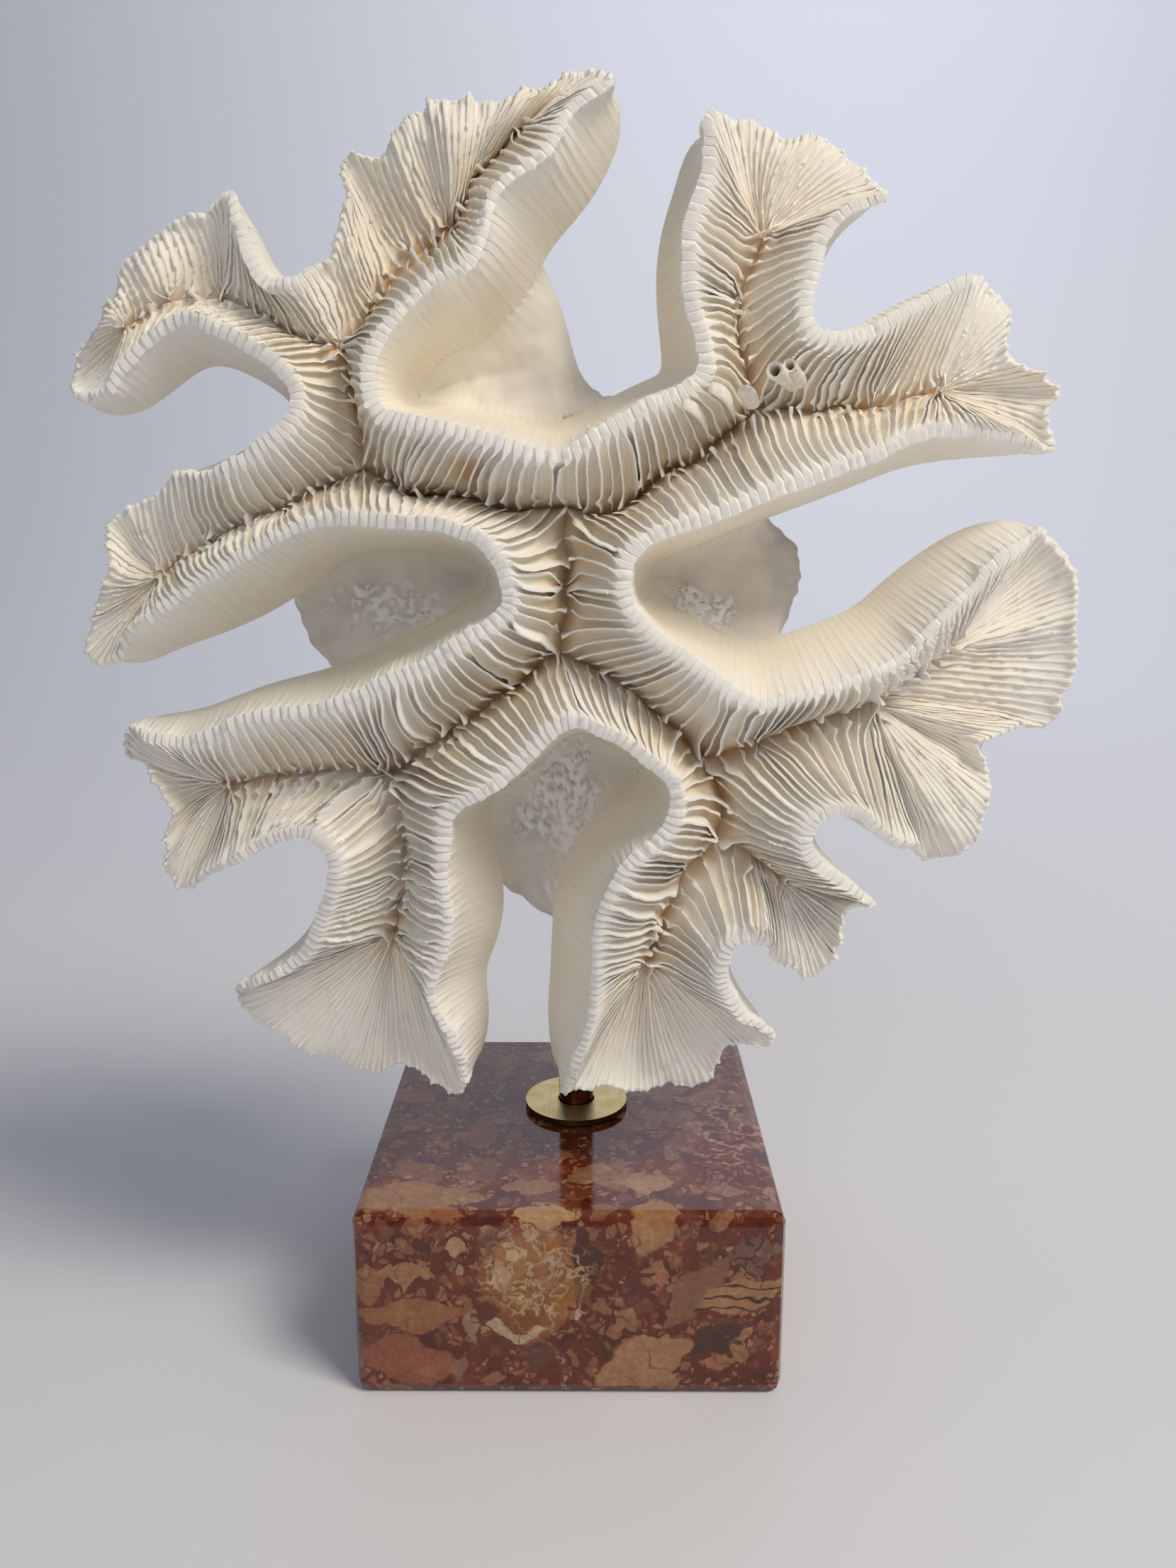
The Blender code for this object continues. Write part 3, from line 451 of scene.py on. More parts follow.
def read_septa():
    """Every septum with its crest, floor and keel, in order round the coral."""
    stations = []
    for _, kind, run in CREST:
        for x, z, floor in run:
            dome = DOME_LOW if z < CENTRE[1] - LOW_BELOW else DOME
            back = RIM_BACK if kind is RIM else 0.0
            point = seen(x, z, CREST_FRONT + dome * radius(x, z) ** 2 + back)
            stations.append((point, floor, kind[0], kind[1], float(kind is RIM)))
    count = len(stations)
    crest = np.array([s[0] for s in stations])
    form = smoothed(np.array([s[2:] for s in stations]), 2)
    floors = [s[1] for s in stations]
    floor_at = {n: seen(x, z, floor_depth(radius(x, z))) for n, (x, z) in FLOOR.items()}
    keel_at = {n: seen(x, z, keel_depth(radius(x, z))) for n, (x, z) in FLOOR.items()}
    edges = {n: set() for n in FLOOR}
    banks = {}
    span = [float(np.linalg.norm(crest[(i + 1) % count] - crest[i])) for i in range(count)]
    for i in range(count):
        a, b = floors[i], floors[(i + 1) % count]
        if a != b:
            edges[a].add(b)
            edges[b].add(a)
            banks.setdefault(frozenset((a, b)), []).append(span[i])
    septa = {"crest": [], "floor": [], "keel": [], "form": [], "first": []}
    for i in range(count):
        a, b = floors[i], floors[(i + 1) % count]
        length = span[i] if a == b else sum(banks[frozenset((a, b))]) / 2
        number = max(1, round(length / SEPTUM_SPACING))
        ring = [crest[(i + k) % count] for k in (-1, 0, 1, 2)]
        for k in range(number):
            t = k / number
            septa["crest"].append(hermite(ring[1], ring[2], (ring[2] - ring[0]) / 2, (ring[3] - ring[1]) / 2, t))
            septa["floor"].append(tree_point(floor_at, edges, a, b, t))
            septa["keel"].append(tree_point(keel_at, edges, a, b, t))
            septa["form"].append(form[i] * (1 - t) + form[(i + 1) % count] * t)
            septa["first"].append(floors[i] if k == 0 else "")
    first = septa.pop("first")
    septa = {name: np.array(values) for name, values in septa.items()}
    x, y, z = septa["floor"].T
    septa["floor"] = np.stack([x + FLOOR_WANDER * soft_noise(x, z, 3.7), y + FLOOR_ROUGH * soft_noise(x, z, 2.9),
                               z + FLOOR_WANDER * soft_noise(z, x, 4.1)], axis=1)
    return septa, first


def grain(rows, columns, across, along):
    """Smooth random relief over septa (rows) and places along them (columns), about -1 to 1."""
    field = rng.normal(size=(rows, columns))
    for _ in range(across):
        field = (np.roll(field, 1, axis=0) + 2 * field + np.roll(field, -1, axis=0)) / 4
    for _ in range(along):
        padded = np.pad(field, ((0, 0), (1, 1)), mode="edge")
        field = (padded[:, :-2] + 2 * padded[:, 1:-1] + padded[:, 2:]) / 4
    return field / field.std() / 2


def step_up(low, high, x):
    """0 below low, 1 above high and smooth between."""
    t = np.clip((x - low) / (high - low), 0, 1)
    return t * t * (3 - 2 * t)


def flat_unit(v):
    """Vectors with their y taken out, at unit length."""
    v = v * np.array([1.0, 0.0, 1.0])
    return v / np.maximum(np.linalg.norm(v, axis=-1, keepdims=True), 1e-9)


def septum_paths():
    """For each septum its path over the wall, from floor to crest to keel, and how it stands there."""
    septa, first = read_septa()
    crest, floor, keel = septa["crest"], septa["floor"], septa["keel"]
    lean, drop, rim = smoothed(septa["form"], 4).T
    lean, drop = smoothed(lean, 16), smoothed(drop, 16)
    n = len(crest)
    soft = smoothed(crest, 8)
    along = flat_unit(smoothed(np.roll(soft, -2, axis=0) - np.roll(soft, 2, axis=0), 3))
    out = np.stack([-along[:, 2], np.zeros(n), along[:, 0]], axis=1)
    ragged = RIM_RAGGED * (0.14 * rng.normal(size=n) + 0.75 * grain(n, 1, 4, 0)[:, 0] + 0.8 * grain(n, 1, 14, 0)[:, 0])
    crest = crest + out * ((rim + CREST_RAGGED) * ragged)[:, None]
    crest = crest + along * rng.uniform(-CREST_SHIFT, CREST_SHIFT, n)[:, None]
    crest[:, 1] += RIM_WAVE * rim * grain(n, 1, 22, 0)[:, 0] + CREST_WAVE * grain(n, 1, 12, 0)[:, 0]
    half = CREST_HALF_WIDTH - RIM_THINNER * rim - WALL_THINNER * step_up(*BROAD_LEAN, lean)
    odd = np.arange(n) % 2 == 1
    level = sum((np.arange(n) % 2 ** power == 0).astype(float) for power in range(1, 7))
    exsert = EXSERT[0] + EXSERT[1] * rng.random(n) + EXSERT[2] * rim * rng.random(n)
    pages = np.zeros(n)
    for x, z, wide, tilt in PAGES:
        pages += tilt * np.exp(-((crest[:, 0] - x) ** 2 + (crest[:, 2] - z) ** 2) / wide ** 2)
    torn = np.clip(np.abs(pages) + 0.5 * rim, 0, 1)

    # Inner side, from the floor (t = 1) up to the crest's inner lip (t = 0)
    t = 1 - np.linspace(0, 1, INNER_ROWS)[None] ** 1.05
    lip = crest - out * half[:, None]
    inner = lip[:, None] + (floor - lip)[:, None] * t[..., None]
    inner += (smoothed(inner, 8) - inner) * (step_up(0.05, 0.25, t) * step_up(1.0, 0.7, t))[..., None]
    depth = (floor - crest)[:, 1][:, None]
    bowl = rim[:, None]
    fold = FAN_FOLD * grain(n, 1, 26, 0) + FAN_PLEAT * grain(n, 1, 9, 0)
    fold = fold * bowl * np.sin(math.pi * t ** 0.7)
    inner[..., 1] = (crest[:, 1][:, None] + 0.06 + fold
                     + (depth - 0.06) * (SLOPE_SHARE * t ** (1.2 - 0.2 * bowl)
                                         + CREVICE_SHARE * step_up(CREVICE_FROM, 1.0, t)))
    ridge_y = (crest[:, 1][:, None] - exsert[:, None] * (1 - t) ** 8 + fold
               + depth * RIDGE_SHARE * t ** (RIDGE_CURVE - 0.6 * bowl))
    tall = np.where(odd, SECOND_CYCLE, 1.0) + rng.uniform(-HEIGHT_VARIES, HEIGHT_VARIES, n)
    tall = tall * (1 + (0.35 + 0.3 * rim) * grain(n, 1, 30, 0)[:, 0])
    tall *= 1 + 0.45 * torn * rng.normal(size=n)
    tall += TALL_IN_FAN * rim * (rng.random(n) < 0.22)
    rise = np.maximum(inner[..., 1] - ridge_y, 0.1) * np.clip(tall, 0.35, 1.6)[:, None]
    lobe_at = rng.uniform(*LOBE_AT, n)[:, None]
    lobe = LOBE_HEIGHT * rng.uniform(0.2, 1.0, n) * (rng.random(n) < LOBE_SHARE) * np.where(odd, 0.35, 1.0)
    bend = np.exp(-((t - lobe_at) / LOBE_WIDE) ** 2)
    rise += lobe[:, None] * bend
    teeth = np.abs(grain(n, INNER_ROWS, 0, 0)) * (TEETH + TORN_TEETH * torn[:, None])
    tears = grain(n, INNER_ROWS, 0, 3) * TEARS * torn[:, None]
    rise += (teeth + tears) * step_up(0.05, 0.2, t)
    rise = np.maximum(rise, 0.12) * step_up(0.0, 0.03, 1 - t)
    tilt = 0.22 * grain(n, 1, 10, 0) + 0.12 * rng.normal(size=(n, 1)) + pages[:, None]
    hook = rng.uniform(-1, 1, n)[:, None] * bend * HOOK + tilt * rise * step_up(0.03, 0.3, t)
    overhang = flat_unit(floor - crest)[:, None] * (LOBE_OVERHANG * lobe[:, None] * bend)[..., None]

    # Outer side, from the crest's outer lip down to the widest place, then under to the keel
    s = np.linspace(0, 1, OUTER_ROWS + 1)[None, 1:] ** 1.25
    edge = crest + out * half[:, None] + np.array([0.0, 0.35, 0.0])
    drop = np.minimum(drop, np.maximum(1.2, (keel[:, 1] - crest[:, 1]) * 0.85))
    waist = crest + out * lean[:, None] + drop[:, None] * np.array([0.0, 1.0, 0.0])
    waist = waist * rim[:, None] + smoothed(waist, 12) * (1 - rim[:, None])
    u = np.clip(s / 0.5, 0, 1)[..., None]
    w = np.clip(s / 0.5 - 1, 0, 1)[..., None]
    skin = edge[:, None] + (waist - edge)[:, None] * u + (keel - waist)[:, None] * w
    skin[..., 1] = (edge[:, 1][:, None] + (waist - edge)[:, 1][:, None] * u[..., 0] ** 0.85
                    + (keel - waist)[:, 1][:, None] * np.sin(w[..., 0] * math.pi / 2))
    even = smoothed(skin, 10)
    skin += (even - skin) * (step_up(0.02, 0.3, s) * step_up(1.0, 0.9, s))[..., None]
    wave = SKIN_WAVE * grain(n, OUTER_ROWS, 50, 5) * step_up(0.0, 0.2, s) * step_up(1.0, 0.8, s)
    skin += out[:, None] * wave[..., None]
    lips = np.stack([crest + np.array([0.0, 0.1, 0.0]), edge], axis=1)
    path = np.concatenate([inner, lips, skin], axis=1)

    # How far the septum stands out of the path: towards the front inside, outward as a rib outside
    run = np.linalg.norm(np.diff(path, axis=1), axis=2)
    gone = np.concatenate([np.zeros((n, 1)), np.cumsum(run, axis=1)], axis=1)
    gone = gone - gone[:, INNER_ROWS][:, None]
    below = np.maximum(gone, 0)
    rib = RIB_AT_CREST * np.exp(-below / RIB_FADES[0]) + RIB_BELOW * np.exp(-below / RIB_FADES[1])
    rib *= rng.uniform(0.1, 1.6, (n, 1))
    rib[:, :INNER_ROWS + 1] = 0
    rib[:, -1] = 0
    stand = out[:, None] * rib[..., None]
    stand[:, :INNER_ROWS] += overhang
    stand[:, :INNER_ROWS, 1] -= rise
    stand[:, INNER_ROWS, 1] -= exsert + 0.06
    stand[:, INNER_ROWS + 1, 1] -= 0.6 * exsert
    sway = np.zeros_like(gone)
    sway[:, :INNER_ROWS] = SWAY * grain(n, 1, 30, 0) * np.sin(math.pi * t) + 0.25 * grain(n, INNER_ROWS, 2, 6) * t
    sway[:, 0] = 0
    lean_over = np.zeros_like(gone)
    lean_over[:, :INNER_ROWS] = hook
    deep = np.zeros_like(gone)
    deep[:, :INNER_ROWS] = t
    thick = SEPTUM_THICK * np.where(odd, 0.85, 1.1)[:, None] * rng.uniform(0.85, 1.2, n)[:, None]
    thick = thick + (THICK_AT_CREST - thick) * np.exp(-(gone / 2.0) ** 2) * (1 - 0.85 * rim[:, None])
    thick[:, :INNER_ROWS] += THICKER_AT_LOBE * bend
    return path, stand, sway, lean_over, gone, deep, level, thick, first


def make_room(path, shown):
    """Move the faded septa of each row to the middle between the plates that stand."""
    n = len(path)
    place = np.arange(3 * n)[:, None]
    stands = np.tile(shown > 0.5, (3, 1))
    before = np.maximum.accumulate(np.where(stands, place, -1), axis=0)[n:2 * n]
    after = np.minimum.accumulate(np.where(stands, place, 3 * n)[::-1], axis=0)[::-1][n:2 * n]
    column = np.arange(path.shape[1])[None]
    middle = (path[before % n, column] + path[after % n, column]) / 2
    move = (middle - path) * (0.65 * (1 - shown))[..., None]
    move[(before < 0) | (after >= 3 * n)] = 0
    for _ in range(3):
        move[:, 1:-1] = (move[:, :-2] + 2 * move[:, 1:-1] + move[:, 2:]) / 4
    move[:, [0, -1]] = 0
    return path + move


def wall_grid():
    """All vertices of the wall: five columns to a septum, rows from floor to keel."""
    path, stand, sway, lean_over, gone, deep, level, thick, first = septum_paths()
    n, rows = path.shape[:2]
    across = np.roll(path, -1, axis=0) - np.roll(path, 1, axis=0)
    gap = np.linalg.norm(across[..., [0, 2]], axis=2) / 2
    side = flat_unit(across)
    shown = step_up(0.62, 1.0, gap * 2 ** level[:, None])
    path = make_room(path + side * sway[..., None], shown)
    stand = stand * shown[..., None] + side * (lean_over * shown)[..., None]
    free = np.linalg.norm((path - np.roll(path, 1, axis=0))[..., [0, 2]], axis=2)
    free = np.minimum(free, np.roll(free, -1, axis=0))
    thick = np.minimum(thick / 2, 0.44 * free)[..., None]
    thick[:, [0, -1]] = 0
    top = thick * (0.78 + 0.15 * np.exp(-(gone / 2.0) ** 2))[..., None]
    between = (path + np.roll(path, 1, axis=0)) / 2
    between[:, 1:-1, 1] += 0.12 * step_up(0.0, 0.25, deep[:, 1:-1])
    grid = np.stack([between, path - side * thick * 1.1, path - side * top + stand,
                     path + side * top + stand, path + side * thick * 1.1], axis=1)
    groove = np.broadcast_to(np.array([1.0, 0.7, 0.0, 0.0, 0.7])[None, :, None], (n, 5, rows))
    bank = np.arange(n)[:, None, None] * SEPTUM_SPACING + np.array([-0.7, -0.25, -0.1, 0.1, 0.25])[None, :, None]
    facts = {
        "groove": np.where(shown[:, None] > 0.5, groove, 0.5),
        "deep": np.broadcast_to(deep[:, None], (n, 5, rows)),
        "gone": np.broadcast_to(gone[:, None], (n, 5, rows)),
        "bank": np.broadcast_to(bank, (n, 5, rows)),
    }
    return grid.reshape(n * 5, rows, 3), {k: v.reshape(n * 5, rows) for k, v in facts.items()}, first, path


def strip_between(one, two):
    """Triangles between two chains of vertices that end at the same vertex."""
    triangles = []
    i = k = 0
    while i < len(one) - 1 or k < len(two) - 1:
        if k == len(two) - 1 or (i < len(one) - 1 and i * len(two) <= k * len(one)):
            triangles.append((one[i], one[i + 1], two[k]))
            i += 1
        else:
            triangles.append((one[i], two[k + 1], two[k]))
            k += 1
    return triangles


def shade_smooth(mesh, angle):
    """Smooth shading, but for edges sharper than an angle in degrees."""
    mesh.polygons.foreach_set("use_smooth", np.ones(len(mesh.polygons), bool))
    mesh.set_sharp_from_angle(angle=math.radians(angle))


def note(mesh, fact, values):
    """Write a value on every vertex of a mesh, for its material to read."""
    layer = mesh.attributes.new(fact, "FLOAT", "POINT")
    layer.data.foreach_set("value", values.astype(np.float32))


def wall_piece(name, runs, grid, facts, mat):
    """A closed mesh over runs of columns. Where a run ends the wall is cut across."""
    columns, rows = grid.shape[:2]
    points, triangles, chosen = [], [], []
    base = 0
    for start, stop in runs:
        cols = np.arange(start, stop + 1 if stop > start else stop + columns + 1) % columns
        chosen.append(cols)
        at = base + np.arange(len(cols) * rows).reshape(len(cols), rows)
        a, b, c, d = at[:-1, :-1].ravel(), at[1:, :-1].ravel(), at[1:, 1:].ravel(), at[:-1, 1:].ravel()
        p = grid[cols].reshape(-1, 3)
        short = (np.linalg.norm(p[a - base] - p[c - base], axis=1)
                 < np.linalg.norm(p[b - base] - p[d - base], axis=1))[:, None]
        triangles += [np.where(short, np.stack([a, b, c], 1), np.stack([a, b, d], 1)),
                      np.where(short, np.stack([a, c, d], 1), np.stack([b, c, d], 1))]
        for end, turn in ((at[0], 1), (at[-1], -1)):
            cap = strip_between(end[:INNER_ROWS + 1], end[:INNER_ROWS - 1:-1])
            triangles.append(np.array(cap)[:, ::turn])
        points.append(p)
        base += len(p)
    points = np.concatenate(points)
    triangles = np.concatenate(triangles)

    # The two banks of a valley share their floor, and their keel behind it
    ends = np.concatenate([np.arange(0, base, rows), np.arange(rows - 1, base, rows)])
    _, index, inverse = np.unique(np.round(points[ends] * 2000).astype(int), axis=0, return_index=True,
                                  return_inverse=True)
    same = np.arange(base)
    same[ends] = ends[index[inverse.ravel()]]
    triangles = same[triangles]
    real = ((triangles[:, 0] != triangles[:, 1]) & (triangles[:, 1] != triangles[:, 2])
            & (triangles[:, 2] != triangles[:, 0]))
    triangles = triangles[real]
    used, triangles = np.unique(triangles, return_inverse=True)
    triangles = triangles.reshape(-1, 3)
    mesh = bpy.data.meshes.new(name)
    mesh.from_pydata((points[used] * MM).tolist(), [], triangles.tolist())
    every = np.concatenate(chosen)
    for fact, values in facts.items():
        note(mesh, fact, values[every].ravel()[used])
    shade_smooth(mesh, SHARP_ANGLE)
    mesh.materials.append(mat)
    return in_scene(name, mesh)


def within(tree, where, middle, half, turn=0.0, low=1.0, high=0.9):
    """1 inside a blunt-cornered lump round a middle, 0 outside; sizes in mm."""
    local = add(tree, "ShaderNodeMapping", {"Vector": where, "Location": [v * MM for v in middle],
                                            "Rotation": (0.0, math.radians(turn), 0.0),
                                            "Scale": [v * MM for v in half]}, vector_type="TEXTURE")
    local = add(tree, "ShaderNodeVectorMath", (local,), operation="ABSOLUTE")
    round_way = add(tree, "ShaderNodeVectorMath", (local,), out="Value", operation="LENGTH")
    flat_way = add(tree, "ShaderNodeVectorMath", (local, (0.82, 0.82, 0.82)), out="Value", operation="DOT_PRODUCT")
    away = add(tree, "ShaderNodeMath", (round_way, flat_way), operation="MAXIMUM")
    return add(tree, "ShaderNodeMapRange", (away, low, high, 0.0, 1.0))


# Aragonite: a chalky white skeleton, densest and whitest on the crests, ivory on the smooth
# skin below them; between the plates towards the floors it is painted tan and brown, partly dirt and partly painted
# shade.
STREAKS_ACROSS = 1.6
STREAKS_DOWN = 0.05
bone, tree, shader = new_material("aragonite_skeleton")
deep, groove, gone, bank = [add(tree, "ShaderNodeAttribute", out="Fac", attribute_name=fact)
                            for fact in ("deep", "groove", "gone", "bank")]
place = add(tree, "ShaderNodeTexCoord", out="Object")
cloudy = add(tree, "ShaderNodeTexNoise", {"Vector": place, "Scale": 45.0, "Detail": 4.0}, out="Fac")
fine = add(tree, "ShaderNodeTexNoise", {"Vector": place, "Scale": 1400.0, "Detail": 3.0}, out="Fac")
across = add(tree, "ShaderNodeMath", (bank, STREAKS_ACROSS), operation="MULTIPLY")
down = add(tree, "ShaderNodeMath", (gone, STREAKS_DOWN), operation="MULTIPLY")
streak_place = add(tree, "ShaderNodeCombineXYZ", (across, down, 0.0))
streak = add(tree, "ShaderNodeTexNoise", {"Vector": streak_place, "Scale": 1.0, "Detail": 3.0}, out="Fac")
skin_tone = add(tree, "ShaderNodeValToRGB", (add(tree, "ShaderNodeMapRange", (gone, 0.5, 16.0, 0.0, 1.0)),),
                stops=((0.0, linear("#FAF8F1")), (1.0, linear("#F0E6D1")), (0.35, linear("#F6EFE0"))))
streaked = add(tree, "ShaderNodeMapRange", (streak, 0.35, 0.75, 0.0, 0.5))
skin_tone = add(tree, "ShaderNodeMix", (streaked, skin_tone, linear("#FAF7F0")), data_type="RGBA")
# Painted shade: the plates turn tan in the gaps between them and more so towards the floor, where shade falls; the
# cloudy noise makes it patchy like staining
stain_and_depth_shade = add(tree, "ShaderNodeMapRange", (cloudy, 0.4, 0.65, 0.35, 1.0))
below = add(tree, "ShaderNodeMapRange", (deep, 0.15, 0.8, 0.35, 1.0))
stain_and_depth_shade = add(tree, "ShaderNodeMath", (stain_and_depth_shade, below), operation="MULTIPLY")
gap_shade_and_stain = add(tree, "ShaderNodeMath", (groove, stain_and_depth_shade), operation="MULTIPLY")
plate_tone = add(tree, "ShaderNodeMix", (gap_shade_and_stain, linear("#FAF7EF"), linear("#E3CDA6")), data_type="RGBA")
# Brown painted deep in each valley's crevice, most in the gaps: partly patchy dirt, partly painted shade of the
# crevice
low_down = add(tree, "ShaderNodeMapRange", (deep, 0.80, 1.0, 0.0, 1.0))
patchy = add(tree, "ShaderNodeMapRange", (cloudy, 0.42, 0.62, 0.25, 1.0))
crevice_dirt_and_shade = add(tree, "ShaderNodeMath", (low_down, patchy), operation="MULTIPLY")
gap_weight = add(tree, "ShaderNodeMath", (groove, 0.7, 0.3), operation="MULTIPLY_ADD")
crevice_dirt_and_shade = add(tree, "ShaderNodeMath", (crevice_dirt_and_shade, gap_weight), operation="MULTIPLY")
plate_tone = add(tree, "ShaderNodeMix", (crevice_dirt_and_shade, plate_tone, linear("#C79C68")), data_type="RGBA")
inside = add(tree, "ShaderNodeMapRange", (gone, -0.6, 0.6, 0.0, 1.0))
tone = add(tree, "ShaderNodeMix", (inside, plate_tone, skin_tone), data_type="RGBA")
for spot, half, strength, only_gaps, shade in STAINS:
    mask = within(tree, place, seen(*spot), half, low=1.2, high=0.4)
    mask = add(tree, "ShaderNodeMath", (mask, strength), operation="MULTIPLY")
    if only_gaps:
        mask = add(tree, "ShaderNodeMath", (mask, groove), operation="MULTIPLY")
    tone = add(tree, "ShaderNodeMix", (mask, tone, linear(shade)), data_type="RGBA")
# Painted shade: a dark spot where each small hole would be; the wall is not cut there
for spot, half in PAINTED_HOLE_SHADES:
    hole_shade = within(tree, place, seen(*spot), half, low=1.0, high=0.8)
    tone = add(tree, "ShaderNodeMix", (hole_shade, tone, linear("#5B4530")), data_type="RGBA")
lumps = add(tree, "ShaderNodeBump", {"Strength": 0.35, "Distance": 0.0002, "Height": fine})
grooves = add(tree, "ShaderNodeBump", {"Strength": 0.3, "Distance": 0.0003, "Height": streak, "Normal": lumps})
rough = add(tree, "ShaderNodeMapRange", (gone, 0.0, 8.0, 0.72, 0.5))
feed(tree, shader.inputs, {"Base Color": tone, "Roughness": rough, "Normal": grooves, "Subsurface Weight": 0.18,
                           "Subsurface Radius": (1.0, 0.8, 0.6), "Subsurface Scale": 0.0008})

grid, facts, first, path = wall_grid()
cuts = []
for name, (junction, sides) in ARMS.items():
    near = [i for i, at in enumerate(first) if at == junction]
    start, stop = [min(near, key=lambda i: math.dist(grid[5 * i + 1, INNER_ROWS, ::2], seen(x, z, CREST_FRONT)[::2]))
                   for x, z in sides]
    cuts.append((5 * start + 1, 5 * stop + 1, name))
cuts.sort()
pieces = [(name, [(start, stop)]) for start, stop, name in cuts]
pieces.append(("coral_middle", [(one[1], two[0]) for one, two in zip(cuts, cuts[1:] + cuts[:1])]))
for name, runs in pieces:
    piece = wall_piece(f"{name}_septa", runs, grid, facts, bone)
    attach(piece, "root")
    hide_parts(name)


# Plate and stalk
# Behind the hollows the walls run together into one plate that narrows into the stalk the coral
# stood on. Its front is a smooth skin with white crusts, its edges are broken, its back is ribbed.
PLATE_CENTRE = (1.0, 150.0)
# Its outline, by degrees anticlockwise from the right; a wing closes the top hollow on the left
PLATE_REACH = {0: 42, 30: 36, 60: 33, 84: 34, 90: 37, 94: 53, 98: 60, 106: 58, 114: 54, 122: 50, 130: 48, 138: 45,
               150: 42, 180: 55, 205: 47, 230: 48, 250: 60, 268: 66, 285: 54, 310: 38, 335: 37, 360: 42}
WING = (75.0, 150.0)
# Its section, from the middle of the front to the end of the stalk: (share of the outline, y in mm)
PLATE_FRONT = [(0.0, -17.5), (0.30, -17.5), (0.60, -16.5), (0.86, -13.5), (1.00, -9.5)]
PLATE_BACK = [(1.00, -9.5), (0.98, -6.0), (0.84, 0.0), (0.60, 6.0), (0.42, 13.0), (0.33, 20.0), (0.28, 27.0)]
PLATE_COLUMNS = 540
FRONT_RINGS = 96
BACK_RINGS = 64
BROKEN_ANGLE = 60
# Its broken edge: how ragged in all, in fine steps and in wide ones
EDGE_RAGGED = 1.1
EDGE_FINE = 0.3
EDGE_WIDE = 3.4
# How far out it starts to climb to the walls, and how much farther on the wing; the wing's own fading
FILLET_REACH = 7.0
WING_FILLET = 13.0
WING_RISES, WING_ENDS = (85.0, 92.0), (142.0, 130.0)
WING_OUTSIDE = (34.0, 42.0)
# Back: the stalk leaves the wing out; growth ribs, and the ivory tone of old skeleton
STALK_REACH = 42.0
BACK_RIBS = 74
BACK_RIB_HEIGHT = 0.35
IVORY_BEHIND = 0.75
# White grains of crust: how many are cast, over a cube of what half size, and the size of one
GRAINS = 16000
GRAIN_FIELD = 60.0
GRAIN_RADIUS = 0.589
GRAIN_HEIGHT = 0.8
# Crusts on the floors of the hollows: (x, z, half width, half height), in mm
CRUSTS = [(22.5, 145.5, 8.0, 5.5), (-2.0, 110.0, 8.0, 13.0), (-30.0, 145.5, 13.0, 4.6), (-1.0, 92.0, 5.0, 7.0)]


def nearest(points, spots):
    """Distance in the front plane from each point (x, z) to the nearest spot (x, depth, z), and its depth."""
    tree = KDTree(len(spots))
    for i, spot in enumerate(spots):
        tree.insert((spot[0], 0.0, spot[-1]), i)
    tree.balance()
    found = [tree.find((x, 0.0, z))[1:] for x, z in points]
    return np.array([f[1] for f in found]), spots[[f[0] for f in found], 1]


